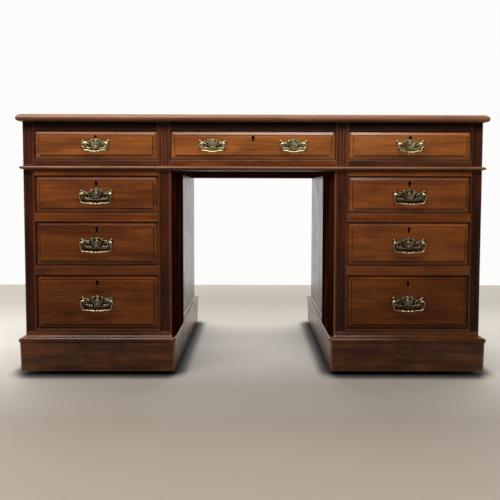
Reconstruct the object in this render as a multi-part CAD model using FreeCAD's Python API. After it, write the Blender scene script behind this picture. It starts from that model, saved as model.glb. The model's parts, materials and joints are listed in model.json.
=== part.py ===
import FreeCAD, Part
import math
import os

from FreeCAD import Vector

# Twin-pedestal writing desk, in millimetres.
# X runs to the right, the front faces -Y, Z is up and the floor is Z = 0.

# Heights, from the floor up
floor_gap = 12.0
plinth_face_height = 85.5
plinth_moulding_height = 26.0
pedestal_bottom_rail = 12.0
lower_opening = 162.0
lower_rail = 27.5
middle_opening = 131.5
upper_rail = 25.5
upper_opening = 110.5
pedestal_top_rail = 15.0
frieze_bottom_rail = 31.0
frieze_opening = 87.0
frieze_top_rail = 25.0
top_thickness = 22.0

# Widths and depths
top_width = 1384.0
top_depth = 660.0
top_overhang = 15.0
kneehole_width = 490.0
outer_stile = 32.0
inner_stile = 36.0

# Desk top edge: a rounded nose with a long thumb curve above it
thumb_width = 18.0
nose_height = 8.0
under_round = 8.0
thumb_through_shares = (0.293, 0.707)
leather_border = 62.0
leather_thickness = 1.6

# Boards of the cases
frame_thickness = 22.0
side_board = 18.0
back_board = 10.0
dust_board = 12.0
partition_board = 18.0
runner_width = 34.0
runner_height = 18.0
guide_height = 24.0
flute_margin = 6.0
flute_gap = 3.0
flute_slope = 4.5
flute_depth = 2.5
flute_stop = 9.0
frieze_flutes = 3
stile_chamfer = 4.0

# Bead moulding round the foot of the frieze
bead_height = 10.0
bead_reach = 9.0
bead_lift = 3.0

# Canted pilaster at the kneehole corner of each pedestal
pilaster_reach = 14.5
pilaster_cant = 86.0
pilaster_depth = 179.0
pilaster_quirk = 3.0

# Plinth: a tapered face under a round nose, a quirk and an upper hollow
plinth_overhang = 16.0
plinth_reveal = 3.0
plinth_taper = 1.5
plinth_board = 20.0
plinth_nose_height = 14.0
plinth_nose_round = 5.0
plinth_quirk = 2.5
plinth_hollow_height = 9.0
plinth_cant_width = 5.0
plinth_cant_depth = 10.0
hollow_through_shares = (0.7, 0.3)

# Drawers
drawer_gap = 1.0
run_clearance = 0.3
lip_setback = 5.0
front_board = 16.0
bevel_width = 14.0
bevel_rise = 4.0
field_step = 2.0
drawer_depth = 560.0
drawer_side = 10.0
drawer_back = 9.0
drawer_bottom = 6.0
bottom_lift = 9.0
bottom_groove = 4.0
drawer_side_drop = 4.0
drawer_back_drop = 12.0
dovetail_length = 13.0
dovetail_pitch = 32.0
dovetail_base_share = 0.42
dovetail_tip_share = 0.62

# Locks and keyholes
keyhole_drop = 22.0
keyhole_radius = 3.6
keyhole_length = 13.5
keyhole_foot = 5.0
escutcheon_wall = 1.3
escutcheon_depth = 4.0
escutcheon_proud = 0.3
lock_width = 54.0
lock_height = 36.0
lock_depth = 9.0

# Handles: a pierced plate, two pivot posts and a bail
handle_lift = 4.0
upper_handle_lift = 1.0
centre_handle_offset = 119.0
plate_thickness = 1.8
cartouche_rise = 1.2
post_standoff = 10.5
post_head = 4.2
post_tip = 2.4
post_neck = 2.8
post_collar = 5.4
post_collar_height = 2.0
shank_radius = 2.2
nut_width = 11.0
nut_height = 4.0
bail_radius = 1.7
pin_clearance = 0.06
bail_side_gap = 0.6
pin_inset = 2.6
bail_swell = 2.9
bead_radius = 3.6
bead_length = 2.6
bead_gap = 1.4

pedestal_plate_half = 48.0
pedestal_crest = 16.0
pedestal_foot = 21.0
pedestal_pivot = 41.5
pedestal_corner = 41.0
pedestal_drop = 26.0
pedestal_sag = 3.0

frieze_plate_half = 41.0
frieze_crest = 15.5
frieze_foot = 19.0
frieze_pivot = 31.5
frieze_corner = 31.5
frieze_drop = 22.0
frieze_sag = 6.0

# Castors
castor_inset = 66.0
wheel_radius = 15.0
wheel_width = 14.0
wheel_round = 2.5
wheel_side_gap = 0.6
axle_radius = 2.5
axle_clearance = 0.06
fork_cheek = 3.0
fork_boss = 5.5
fork_trail = 12.0
crown_radius = 14.0
crown_thickness = 4.0
crown_gap = 3.0
crown_seat_gap = 0.3
stem_radius = 5.0
stem_clearance = 0.08
stem_length = 32.0
stem_end_gap = 2.0
block_reach = 28.0

# How far cutting tools run past the faces that they cut
overrun = 2.0

# Half outline of a handle plate, as shares of its half width and of its crest above or foot below the pivots
crest_arc_shares = (((0.11, 0.95), (0.165, 0.72)), ((0.30, 0.90), (0.42, 0.52)))
shoulder_arc_shares = (((0.66, 0.38), (0.88, 0.74)), ((0.97, 0.58), (1.0, 0.20)))
pedestal_flank_arc_shares = (((0.985, -0.18), (0.90, -0.42)), ((0.865, -0.62), (0.79, -0.80)))
frieze_flank_arc_shares = (((0.985, -0.18), (0.86, -0.42)), ((0.76, -0.60), (0.60, -0.76)))
foot_arc_shares = (((0.36, -0.95), (0.0, -1.0)),)

# Lozenge piercings: place across and up the plate as above, then half width and height over its half width
upper_piercing_shares = ((0.25, 0.12, 0.05, 0.08), (0.50, 0.02, 0.10, 0.08))
lower_piercing_shares = ((0.15, -0.48, 0.06, 0.05), (0.40, -0.50, 0.08, 0.05))
cartouche_half_share = 0.17
cartouche_height_share = 0.62
swell_start_share = 0.5

# Heights that follow from the stack
plinth_foot_z = floor_gap
plinth_top_z = floor_gap + plinth_face_height + plinth_moulding_height
lower_z = plinth_top_z + pedestal_bottom_rail
middle_z = lower_z + lower_opening + lower_rail
upper_z = middle_z + middle_opening + upper_rail
pedestal_top_z = upper_z + upper_opening + pedestal_top_rail
frieze_drawer_z = pedestal_top_z + frieze_bottom_rail
frieze_top_z = frieze_drawer_z + frieze_opening + frieze_top_rail
desk_top_z = frieze_top_z + top_thickness

# Planes that follow from the widths and depths
case_half = top_width / 2 - top_overhang
case_front = top_overhang - top_depth / 2
case_back = top_depth / 2 - top_overhang
frame_back = case_front + frame_thickness
inner_back = case_back - back_board
kneehole_half = kneehole_width / 2
opening_in = kneehole_half + inner_stile
opening_out = case_half - outer_stile
pedestal_centre = (opening_in + opening_out) / 2
lip_y = case_front + lip_setback
bevel_y = lip_y - bevel_rise
field_y = bevel_y - field_step
front_back_y = lip_y + front_board

UP = Vector(0, 0, 1)
RIGHT = Vector(1, 0, 0)
BACK = Vector(0, 1, 0)

nodes = {}


def box(x0, x1, y0, y1, z0, z1):
    """Board between two corners."""
    return Part.makeBox(x1 - x0, y1 - y0, z1 - z0, Vector(x0, y0, z0))


def prism(points, travel):
    """Flat polygon pushed along a vector."""
    return Part.Face(Part.makePolygon(points + points[:1])).extrude(travel)


def mirrored(shape):
    """The same piece on the other side of the desk's middle."""
    return shape.mirror(Vector(0, 0, 0), RIGHT)


def outline(start, steps):
    """Closed face through lines, of one point each, and arcs, of two."""
    edges = []
    here = start
    for step in steps:
        if len(step) == 2:
            edges.append(Part.Arc(here, step[0], step[1]).toShape())
        else:
            edges.append(Part.LineSegment(here, step[0]).toShape())
        here = step[-1]
    if here != start:
        edges.append(Part.LineSegment(here, start).toShape())
    return Part.Face(Part.Wire(edges))


def edge_body(section, length, middle, facing):
    """Body behind one moulded edge: the section's X points out of the edge."""
    body = section.extrude(BACK * length)
    body.translate(BACK * (-length / 2))
    body.rotate(Vector(0, 0, 0), UP, facing)
    body.translate(middle)
    return body


def moulded_block(section, x0, x1, y0, y1, extra_edges=()):
    """Block whose four sides, and any canted corners, all carry the same section."""
    x_mid = (x0 + x1) / 2
    y_mid = (y0 + y1) / 2
    length = 2 * (x1 - x0) + 2 * (y1 - y0)
    edges = [(Vector(x1, y_mid, 0), 0), (Vector(x_mid, y1, 0), 90)]
    edges += [(Vector(x0, y_mid, 0), 180), (Vector(x_mid, y0, 0), 270)]
    edges += list(extra_edges)
    block = None
    for middle, facing in edges:
        body = edge_body(section, length, middle, facing)
        block = body if block is None else block.common(body)
    return block


def mitre_wedges(x0, x1, y0, y1, width, z0, z1):
    """Four prisms that cut a ring of boards at its mitres: front, back, left, right."""
    outer = [Vector(x0, y0, z0), Vector(x1, y0, z0), Vector(x1, y1, z0), Vector(x0, y1, z0)]
    steps = [Vector(width, width), Vector(-width, width), Vector(-width, -width), Vector(width, -width)]
    inner = [corner + step for corner, step in zip(outer, steps)]
    rise = UP * (z1 - z0)
    sides = ((0, 1), (2, 3), (3, 0), (1, 2))
    return [prism([outer[a], outer[b], inner[b], inner[a]], rise) for a, b in sides]


def top_section(reach):
    """Section of the desk top's edge."""
    low = frieze_top_z
    high = desk_top_z
    nose = low + nose_height
    corner = math.sqrt(0.5)
    through_x = -thumb_width * thumb_through_shares[0]
    through_z = nose + (high - nose) * thumb_through_shares[1]
    under = Vector(-under_round * (1 - corner), 0, low + nose_height * (1 - corner))
    return outline(Vector(-reach, 0, low), [
        (Vector(-under_round, 0, low),),
        (under, Vector(0, 0, nose)),
        (Vector(through_x, 0, through_z), Vector(-thumb_width, 0, high)),
        (Vector(-reach, 0, high),),
    ])


def make_top():
    """Walnut top with a sunk bed for the leather, and the leather itself."""
    half_x = top_width / 2
    half_y = top_depth / 2
    board = moulded_block(top_section(top_width), -half_x, half_x, -half_y, half_y)
    bed_x = half_x - leather_border
    bed_y = half_y - leather_border
    bed_z = desk_top_z - leather_thickness
    leather = box(-bed_x, bed_x, -bed_y, bed_y, bed_z, desk_top_z)
    nodes["desk_top"] = [board.cut(leather)]
    nodes["writing_leather"] = [leather]


def flute(x0, x1, z0, z1, slope):
    """Cutter for a sunk flute with sloping sides and stopped ends."""
    floor_y = case_front + flute_depth
    return Part.makeWedge(x0, case_front, z0, z0 + slope, x0 + slope, x1, floor_y, z1, z1 - slope, x1 - slope)


def stile(x0, x1, z0, z1, flutes, rise=0.0, chamfer=0.0):
    """Front stile with stopped flutes sunk in its face and, for an outer one, an eased corner."""
    points = [Vector(x0, case_front, z0)]
    if chamfer:
        points += [Vector(x1 - chamfer, case_front, z0), Vector(x1, case_front + chamfer, z0)]
    else:
        points += [Vector(x1, case_front, z0)]
    points += [Vector(x1, frame_back, z0), Vector(x0, frame_back, z0)]
    board = prism(points, UP * (z1 - z0))
    pitch = (x1 - x0 - 2 * flute_margin + flute_gap) / flutes
    low = z0 + rise + flute_stop
    high = z1 - flute_stop
    for index in range(flutes):
        left = x0 + flute_margin + index * pitch
        board = board.cut(flute(left, left + pitch - flute_gap, low, high, flute_slope / flutes))
    return board


def bead_strips():
    """Half-round bead along the front and both ends of the frieze."""
    low = pedestal_top_z + bead_lift
    high = low + bead_height
    reach = top_width
    section = outline(Vector(-reach, 0, low), [
        (Vector(-bead_reach, 0, low),),
        (Vector(0, 0, (low + high) / 2), Vector(-bead_reach, 0, high)),
        (Vector(-reach, 0, high),),
    ])
    x_out = case_half + bead_reach
    y_out = case_front - bead_reach
    block = moulded_block(section, -x_out, x_out, y_out, case_back + bead_reach)
    ring = block.cut(box(-case_half, case_half, case_front, case_back + 2 * bead_reach, low, high))
    ring = ring.cut(box(-x_out, x_out, case_back, case_back + 2 * bead_reach, low, high))
    front = mitre_wedges(-x_out, x_out, y_out, case_back, 2 * bead_reach, low, high)[0]
    ends = ring.cut(front)
    return ring.common(front).Solids + ends.Solids


def make_frieze():
    """Case of the top section with its three drawer openings."""
    z0 = pedestal_top_z
    z1 = frieze_top_z
    shelf_z = z0 + dust_board
    opening_top = frieze_drawer_z + frieze_opening
    end_in = case_half - side_board
    middle = kneehole_half + inner_stile / 2
    part_in = middle - partition_board / 2
    part_out = middle + partition_board / 2
    half = [
        stile(opening_out, case_half, z0, z1, 1, bead_lift + bead_height, stile_chamfer),
        stile(kneehole_half, opening_in, z0, z1, frieze_flutes, bead_lift + bead_height),
        box(opening_in, opening_out, case_front, frame_back, z0, frieze_drawer_z),
        box(opening_in, opening_out, case_front, frame_back, opening_top, z1),
        box(end_in, case_half, frame_back, case_back, z0, z1),
        box(part_in, part_out, frame_back, inner_back, shelf_z, z1),
    ]
    guide_top = frieze_drawer_z + guide_height
    for x0, x1 in ((kneehole_half, part_in), (part_out, opening_in), (opening_out, end_in)):
        half.append(box(x0, x1, frame_back, inner_back, frieze_drawer_z, guide_top))
    for x0 in (part_in - runner_width, part_out, end_in - runner_width):
        half.append(box(x0, x0 + runner_width, frame_back, inner_back, shelf_z, frieze_drawer_z))
    pieces = half + [mirrored(piece) for piece in half]
    pieces += [
        box(-kneehole_half, kneehole_half, case_front, frame_back, z0, frieze_drawer_z),
        box(-kneehole_half, kneehole_half, case_front, frame_back, opening_top, z1),
        box(-end_in, end_in, frame_back, inner_back, z0, shelf_z),
        box(-end_in, end_in, inner_back, case_back, z0, z1),
    ]
    nodes["frieze_case"] = pieces + bead_strips()


def plinth_section(reach):
    """Section of the plinth: tapered face, round nose, quirk and hollow."""
    face_top = plinth_foot_z + plinth_face_height
    nose_top = face_top + plinth_nose_height
    hollow_top = nose_top + plinth_hollow_height
    face_in = -plinth_reveal
    nose_in = -plinth_nose_round
    quirk_in = nose_in - plinth_quirk
    hollow_x = quirk_in - (plinth_overhang + quirk_in) * hollow_through_shares[0]
    hollow_z = nose_top + plinth_hollow_height * hollow_through_shares[1]
    return outline(Vector(-reach, 0, plinth_foot_z), [
        (Vector(face_in - plinth_taper, 0, plinth_foot_z),),
        (Vector(face_in, 0, face_top),),
        (Vector(0, 0, (face_top + nose_top) / 2), Vector(nose_in, 0, nose_top)),
        (Vector(quirk_in, 0, nose_top),),
        (Vector(hollow_x, 0, hollow_z), Vector(-plinth_overhang, 0, hollow_top)),
        (Vector(-plinth_overhang, 0, plinth_top_z),),
        (Vector(-reach, 0, plinth_top_z),),
    ])


def plinth_block():
    """Whole moulded plinth of the right pedestal, canted at the kneehole corner."""
    x0 = kneehole_half - plinth_overhang
    x1 = case_half + plinth_overhang
    y0 = case_front - plinth_overhang
    y1 = case_back + plinth_overhang
    cant_middle = Vector(x0 + plinth_cant_width / 2, y0 + plinth_cant_depth / 2, 0)
    cant_facing = 180 + math.degrees(math.atan2(plinth_cant_width, plinth_cant_depth))
    return moulded_block(plinth_section(top_width), x0, x1, y0, y1, [(cant_middle, cant_facing)])


def castor_places():
    """Castor centres under the right pedestal, named by corner."""
    face = plinth_overhang - plinth_reveal
    x_in = kneehole_half - face + castor_inset
    x_out = case_half + face - castor_inset
    y_front = case_front - face + castor_inset
    y_back = case_back + face - castor_inset
    return {
        "front_inner": (x_in, y_front), "front_outer": (x_out, y_front),
        "back_inner": (x_in, y_back), "back_outer": (x_out, y_back),
    }


crown_top_z = 2 * wheel_radius + crown_gap + crown_thickness
block_foot_z = crown_top_z + crown_seat_gap


def plinth_pieces(block):
    """Mitred boards and bored corner blocks of one plinth."""
    x0 = kneehole_half - plinth_overhang
    x1 = case_half + plinth_overhang
    y0 = case_front - plinth_overhang
    y1 = case_back + plinth_overhang
    wall = plinth_reveal + plinth_board
    ring = block.cut(box(x0 + wall, x1 - wall, y0 + wall, y1 - wall, 0, desk_top_z))
    wedges = mitre_wedges(x0, x1, y0, y1, 2 * wall, plinth_foot_z, plinth_top_z)
    pieces = []
    for wedge in wedges:
        pieces += ring.common(wedge).Solids
    x_mid = (x0 + x1) / 2
    y_mid = (y0 + y1) / 2
    for x, y in castor_places().values():
        side_x = 1 if x > x_mid else -1
        side_y = 1 if y > y_mid else -1
        wall_x = x1 - wall if side_x > 0 else x0 + wall
        wall_y = y1 - wall if side_y > 0 else y0 + wall
        xs = sorted((wall_x, x - side_x * block_reach))
        ys = sorted((wall_y, y - side_y * block_reach))
        corner = box(xs[0], xs[1], ys[0], ys[1], block_foot_z, plinth_top_z)
        depth = stem_length - crown_seat_gap + stem_end_gap
        mouth = Vector(x, y, block_foot_z - overrun)
        bore = Part.makeCylinder(stem_radius + stem_clearance, depth + overrun, mouth)
        pieces.append(corner.cut(bore))
    return pieces


def pilaster(block):
    """Canted pilaster that stands on the plinth moulding at the kneehole corner."""
    x_side = kneehole_half
    x_face = kneehole_half - pilaster_reach
    y0 = case_front
    y1 = y0 + pilaster_cant
    y2 = y0 + pilaster_depth
    low = plinth_foot_z + plinth_face_height + plinth_nose_height
    points = [
        Vector(x_side, y0, low),
        Vector(x_face, y1 - pilaster_quirk, low),
        Vector(x_face + pilaster_quirk, y1, low),
        Vector(x_face, y1 + pilaster_quirk, low),
        Vector(x_face, y2, low),
        Vector(x_side, y2, low),
    ]
    return prism(points, UP * (pedestal_top_z - low)).cut(block)


def pedestal_pieces(block):
    """Boards of the right pedestal's case."""
    z0 = plinth_top_z
    z1 = pedestal_top_z
    side_in = kneehole_half + side_board
    side_out = case_half - side_board
    pieces = [
        stile(kneehole_half, opening_in, z0, z1, 1),
        stile(opening_out, case_half, z0, z1, 1, 0, stile_chamfer),
        pilaster(block),
        box(kneehole_half, side_in, frame_back, case_back, z0, z1),
        box(side_out, case_half, frame_back, case_back, z0, z1),
        box(side_in, side_out, inner_back, case_back, z0, z1),
        box(side_in, side_out, frame_back, inner_back, z0, lower_z),
        box(side_in, side_out, frame_back, inner_back, z1 - pedestal_top_rail, z1),
    ]
    rails = (
        (z0, lower_z),
        (middle_z - lower_rail, middle_z),
        (upper_z - upper_rail, upper_z),
        (z1 - pedestal_top_rail, z1),
    )
    for low, high in rails:
        pieces.append(box(opening_in, opening_out, case_front, frame_back, low, high))
    for run_z in (middle_z, upper_z):
        for x0, x1 in ((side_in, side_in + runner_width), (side_out - runner_width, side_out)):
            pieces.append(box(x0, x1, frame_back, inner_back, run_z - runner_height, run_z))
    for run_z in (lower_z, middle_z, upper_z):
        for x0, x1 in ((side_in, opening_in), (opening_out, side_out)):
            pieces.append(box(x0, x1, frame_back, inner_back, run_z, run_z + guide_height))
    return pieces


def make_pedestals():
    """Both pedestals and their plinths; the left one mirrors the right."""
    block = plinth_block()
    case = pedestal_pieces(block)
    plinth = plinth_pieces(block)
    nodes["right_pedestal_case"] = case
    nodes["left_pedestal_case"] = [mirrored(piece) for piece in case]
    nodes["right_plinth"] = plinth
    nodes["left_plinth"] = [mirrored(piece) for piece in plinth]


def keyhole(x, z, grow, y0, y1):
    """Keyhole shape: a round eye over a flared slot."""
    radius = keyhole_radius + grow
    eye_z = z + keyhole_length / 2 - keyhole_radius
    foot_z = z - keyhole_length / 2 - grow
    eye = Part.makeCylinder(radius, y1 - y0, Vector(x, y0, eye_z), BACK)
    waist = keyhole_radius / 2 + grow
    foot = keyhole_foot / 2 + grow
    slot = prism([
        Vector(x - waist, y0, eye_z),
        Vector(x + waist, y0, eye_z),
        Vector(x + foot, y0, foot_z),
        Vector(x - foot, y0, foot_z),
    ], BACK * (y1 - y0))
    return eye.fuse(slot).removeSplitter()


def dovetails(x0, x1, z0, z1):
    """Tails of one drawer side, as they sit in the drawer front."""
    count = max(2, round((z1 - z0) / dovetail_pitch))
    pitch = (z1 - z0) / count
    tip_y = front_back_y - dovetail_length
    base = pitch * dovetail_base_share / 2
    tip = pitch * dovetail_tip_share / 2
    tails = []
    for index in range(count):
        z = z0 + pitch * (index + 0.5)
        points = [
            Vector(x0, front_back_y, z - base),
            Vector(x0, tip_y, z - tip),
            Vector(x0, tip_y, z + tip),
            Vector(x0, front_back_y, z + base),
        ]
        tails.append(prism(points, RIGHT * (x1 - x0)))
    return tails


def fielded_front(x0, x1, z0, z1):
    """Drawer front with a raised field inside a sloping border."""
    front = box(x0, x1, lip_y, front_back_y, z0, z1)
    in_x0 = x0 + bevel_width
    in_x1 = x1 - bevel_width
    in_z0 = z0 + bevel_width
    in_z1 = z1 - bevel_width
    border = Part.makeWedge(in_x0, bevel_y, in_z0, z0, x0, in_x1, lip_y, in_z1, z1, x1)
    field = box(in_x0, in_x1, field_y, bevel_y, in_z0, in_z1)
    return front.fuse([border, field]).removeSplitter()


def plate_half_outline(half, crest, foot, flank_shares):
    """Right half of a handle plate in the XZ plane, from its crest to its foot."""
    def point(pair):
        height = crest if pair[1] > 0 else foot
        return Vector(half * pair[0], 0, height * pair[1])
    arcs = crest_arc_shares + shoulder_arc_shares + flank_shares + foot_arc_shares
    steps = [(point(through), point(end)) for through, end in arcs]
    return outline(Vector(0, 0, crest), steps)


def handle_plate(handle):
    """Pierced backplate with a raised cartouche, seated on the drawer's field at the origin."""
    half, crest, foot = handle["half"], handle["crest"], handle["foot"]
    side = plate_half_outline(half, crest, foot, handle["flank"]).extrude(BACK * -plate_thickness)
    for x_share, z_share, wide_share, tall_share in upper_piercing_shares + lower_piercing_shares:
        height = crest if z_share > 0 else foot
        centre = Vector(half * x_share, overrun, height * z_share)
        across = RIGHT * (half * wide_share)
        upward = UP * (half * tall_share)
        lozenge = [centre - across, centre + upward, centre + across, centre - upward]
        side = side.cut(prism(lozenge, BACK * -(plate_thickness + 2 * overrun)))
    plate = side.fuse(mirrored(side)).removeSplitter()
    wide = half * cartouche_half_share
    tall = crest * cartouche_height_share
    rise = BACK * -(plate_thickness + cartouche_rise)
    cartouche = outline(Vector(-wide, 0, 0), [
        (Vector(0, 0, tall), Vector(wide, 0, 0)),
        (Vector(0, 0, -wide), Vector(-wide, 0, 0)),
    ]).extrude(rise)
    return plate.fuse(cartouche).removeSplitter()


def pivot_post(x):
    """Turned post through plate and drawer front, cross-bored for the bail, and its square nut."""
    pivot_y = -post_standoff
    tip_y = pivot_y - post_head
    nut_y = front_back_y - field_y
    section = [
        Vector(x, tip_y, 0),
        Vector(x + post_tip, tip_y, 0),
        Vector(x + post_head, pivot_y, 0),
        Vector(x + post_neck, -plate_thickness - post_collar_height, 0),
        Vector(x + post_collar, -plate_thickness, 0),
        Vector(x + shank_radius, -plate_thickness, 0),
        Vector(x + shank_radius, nut_y, 0),
        Vector(x, nut_y, 0),
    ]
    post = Part.Face(Part.makePolygon(section + section[:1])).revolve(Vector(x, 0, 0), BACK, 360)
    mouth = Vector(x - post_head, pivot_y, 0)
    bore = Part.makeCylinder(bail_radius + pin_clearance, 2 * post_head, mouth, RIGHT)
    half_nut = nut_width / 2
    nut = box(x - half_nut, x + half_nut, nut_y, nut_y + nut_height, -half_nut, half_nut)
    return post.cut(bore), nut


def bail(handle):
    """Drop handle hanging from its two pins, bowed and swelling to a turned middle."""
    pivot, corner, drop, sag = handle["pivot"], handle["corner"], handle["drop"], handle["sag"]
    y = -post_standoff
    arm = pivot + post_head + bail_side_gap + bail_radius
    pin = pivot - pin_inset
    right = [Vector(corner, y, -drop), Vector(arm, y, 0), Vector(pin, y, 0)]
    left = [Vector(-point.x, point.y, point.z) for point in reversed(right)]
    low = Vector(0, y, -drop - sag)
    circle = Part.Wire(Part.makeCircle(bail_radius, left[0], RIGHT))
    rod = Part.makePolygon(left + [low] + right).makePipeShell([circle], True, False, 1)
    pieces = []
    bead_half = bead_length / 2
    swell_end = bead_half + bead_gap
    for side in (-1, 1):
        end = Vector(side * corner, y, -drop)
        way = end - low
        start = low + way * (swell_end / way.Length)
        length = way.Length * (1 - swell_start_share)
        pieces.append(Part.makeCone(bail_swell, bail_radius, length, start, way))
    pieces.append(Part.makeCylinder(bead_radius, bead_length, low - RIGHT * bead_half, RIGHT))
    return rod.fuse(pieces).removeSplitter()


pedestal_handle = {
    "half": pedestal_plate_half, "crest": pedestal_crest, "foot": pedestal_foot, "pivot": pedestal_pivot,
    "corner": pedestal_corner, "drop": pedestal_drop, "sag": pedestal_sag, "flank": pedestal_flank_arc_shares,
}
frieze_handle = {
    "half": frieze_plate_half, "crest": frieze_crest, "foot": frieze_foot, "pivot": frieze_pivot,
    "corner": frieze_corner, "drop": frieze_drop, "sag": frieze_sag, "flank": frieze_flank_arc_shares,
}


def moved(shape, x, z):
    """Copy of a piece of a handle, set on the drawer's field."""
    copy = shape.copy()
    copy.translate(Vector(x, field_y, z))
    return copy


def make_drawer(name, opening, handle, handle_xs, lift=handle_lift):
    """One drawer: front, box, brassware and bails."""
    open_x0, open_x1, open_z0, open_z1 = opening
    x0 = open_x0 + drawer_gap
    x1 = open_x1 - drawer_gap
    z0 = open_z0 + drawer_gap
    z1 = open_z1 - drawer_gap
    middle_x = (x0 + x1) / 2
    handle_z = (z0 + z1) / 2 + lift
    key_z = z1 - keyhole_drop

    front = fielded_front(x0, x1, z0, z1)
    box_z0 = open_z0 + run_clearance
    side_z1 = z1 - drawer_side_drop
    back_y = front_back_y + drawer_depth
    inner_x0 = x0 + drawer_side
    inner_x1 = x1 - drawer_side
    bottom_z0 = box_z0 + bottom_lift
    bottom_z1 = bottom_z0 + drawer_bottom
    bottom_x0 = inner_x0 - bottom_groove
    bottom_x1 = inner_x1 + bottom_groove
    bottom = box(bottom_x0, bottom_x1, front_back_y, back_y, bottom_z0, bottom_z1)
    back = box(inner_x0, inner_x1, back_y - drawer_back, back_y, bottom_z1, side_z1 - drawer_back_drop)
    sides = []
    for side_x0, side_x1 in ((x0, inner_x0), (inner_x1, x1)):
        tails = dovetails(side_x0, side_x1, box_z0 + bottom_lift, side_z1)
        side = box(side_x0, side_x1, front_back_y, back_y, box_z0, side_z1)
        sides.append(side.cut(bottom).fuse(tails).removeSplitter())
        front = front.cut(tails)

    lock_half = lock_width / 2
    lock_y = front_back_y - lock_depth
    lock = box(middle_x - lock_half, middle_x + lock_half, lock_y, front_back_y, z1 - lock_height, z1)
    escutcheon_y = field_y - escutcheon_proud
    escutcheon = keyhole(middle_x, key_z, escutcheon_wall, escutcheon_y, field_y + escutcheon_depth)
    hole = keyhole(middle_x, key_z, 0.0, escutcheon_y - overrun, lock_y)
    front = front.cut([lock, escutcheon, hole])
    brass = [lock, escutcheon.cut(hole)]

    plate = handle_plate(handle)
    posts = []
    for x in (-handle["pivot"], handle["pivot"]):
        posts += pivot_post(x)
    plate = plate.cut(posts)
    for index, handle_x in enumerate(handle_xs):
        fittings = [moved(piece, handle_x, handle_z) for piece in posts]
        front = front.cut(fittings)
        brass += [moved(plate, handle_x, handle_z)] + fittings
        label = name if len(handle_xs) == 1 else name + ("_left", "_right")[index]
        nodes[label + "_bail"] = [moved(bail(handle), handle_x, handle_z)]
    nodes[name + "_drawer_front"] = [front]
    nodes[name + "_drawer_box"] = sides + [back, bottom]
    nodes[name + "_brassware"] = brass


def make_drawers():
    """Three frieze drawers and three graduated drawers in each pedestal."""
    frieze_z1 = frieze_drawer_z + frieze_opening
    centre = (-kneehole_half, kneehole_half, frieze_drawer_z, frieze_z1)
    make_drawer("frieze_centre", centre, frieze_handle, (-centre_handle_offset, centre_handle_offset))
    tiers = (
        ("lower", lower_z, lower_opening, handle_lift),
        ("middle", middle_z, middle_opening, handle_lift),
        ("upper", upper_z, upper_opening, upper_handle_lift),
    )
    for side, sign in (("left", -1), ("right", 1)):
        x0, x1 = sorted((sign * opening_in, sign * opening_out))
        handle_x = (sign * pedestal_centre,)
        make_drawer("frieze_" + side, (x0, x1, frieze_drawer_z, frieze_z1), frieze_handle, handle_x)
        for tier, z0, height, lift in tiers:
            make_drawer(side + "_" + tier, (x0, x1, z0, z0 + height), pedestal_handle, handle_x, lift)


def castor_wheel():
    """Wheel with eased rims, bored for its axle, about the axle's middle."""
    half = wheel_width / 2
    rim = wheel_radius - wheel_round
    bore = axle_radius + axle_clearance
    section = [
        Vector(-half, 0, bore),
        Vector(half, 0, bore),
        Vector(half, 0, rim),
        Vector(half - wheel_round, 0, wheel_radius),
        Vector(wheel_round - half, 0, wheel_radius),
        Vector(-half, 0, rim),
    ]
    face = Part.Face(Part.makePolygon(section + section[:1]))
    return face.revolve(Vector(0, 0, 0), RIGHT, 360)


def castor_fork():
    """Fork on its stem, with two cheeks that trail back to the axle, about the stem's foot on the floor."""
    crown_z = 2 * wheel_radius + crown_gap
    crown = Part.makeCylinder(crown_radius, crown_thickness, Vector(0, 0, crown_z))
    stem = Part.makeCylinder(stem_radius, stem_length, Vector(0, 0, crown_z + crown_thickness))
    cheek_x = wheel_width / 2 + wheel_side_gap
    cheek_half = math.sqrt(crown_radius ** 2 - (cheek_x + fork_cheek) ** 2)
    cheek_top = crown_z + crown_thickness / 2
    boss_foot = Vector(cheek_x, fork_trail, wheel_radius - fork_boss)
    cheek = outline(Vector(cheek_x, -cheek_half, cheek_top), [
        (Vector(cheek_x, cheek_half, cheek_top),),
        (Vector(cheek_x, fork_trail + fork_boss, wheel_radius),),
        (boss_foot, Vector(cheek_x, fork_trail - fork_boss, wheel_radius)),
    ]).extrude(RIGHT * fork_cheek)
    axle_half = cheek_x + fork_cheek
    axle = Part.makeCylinder(axle_radius, 2 * axle_half, Vector(-axle_half, fork_trail, wheel_radius), RIGHT)
    return crown.fuse([stem, cheek, mirrored(cheek), axle]).removeSplitter()


def make_castors():
    """Four castors under each pedestal."""
    for side, sign in (("left", -1), ("right", 1)):
        for corner, (x, y) in castor_places().items():
            fork = castor_fork()
            fork.translate(Vector(sign * x, y, 0))
            wheel = castor_wheel()
            wheel.translate(Vector(sign * x, y + fork_trail, wheel_radius))
            name = side + "_" + corner + "_castor"
            nodes[name + "_fork"] = [fork]
            nodes[name + "_wheel"] = [wheel]


make_top()
make_frieze()
make_pedestals()
make_drawers()
make_castors()

os.makedirs("parts", exist_ok=True)
for node, solids in nodes.items():
    shape = solids[0] if len(solids) == 1 else Part.makeCompound(solids)
    shape.exportStep("parts/" + node + ".step")
print(len(nodes), "nodes,", sum(len(solids) for solids in nodes.values()), "solids")
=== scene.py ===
# %% [markdown]
# # A walnut pedestal desk
# The desk is a top section of three shallow drawers that stands on two pedestals of three deeper ones.
# Its construction comes ready made as a fixed frame, in metres, with one named node for each piece.
# Here every surface gets its wood, brass or leather, and the joinery and brassware get the rounded
# edges and the ornament that a maker's hand leaves.

import json
import math
import random

import bpy
from mathutils import Matrix, Vector

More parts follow.
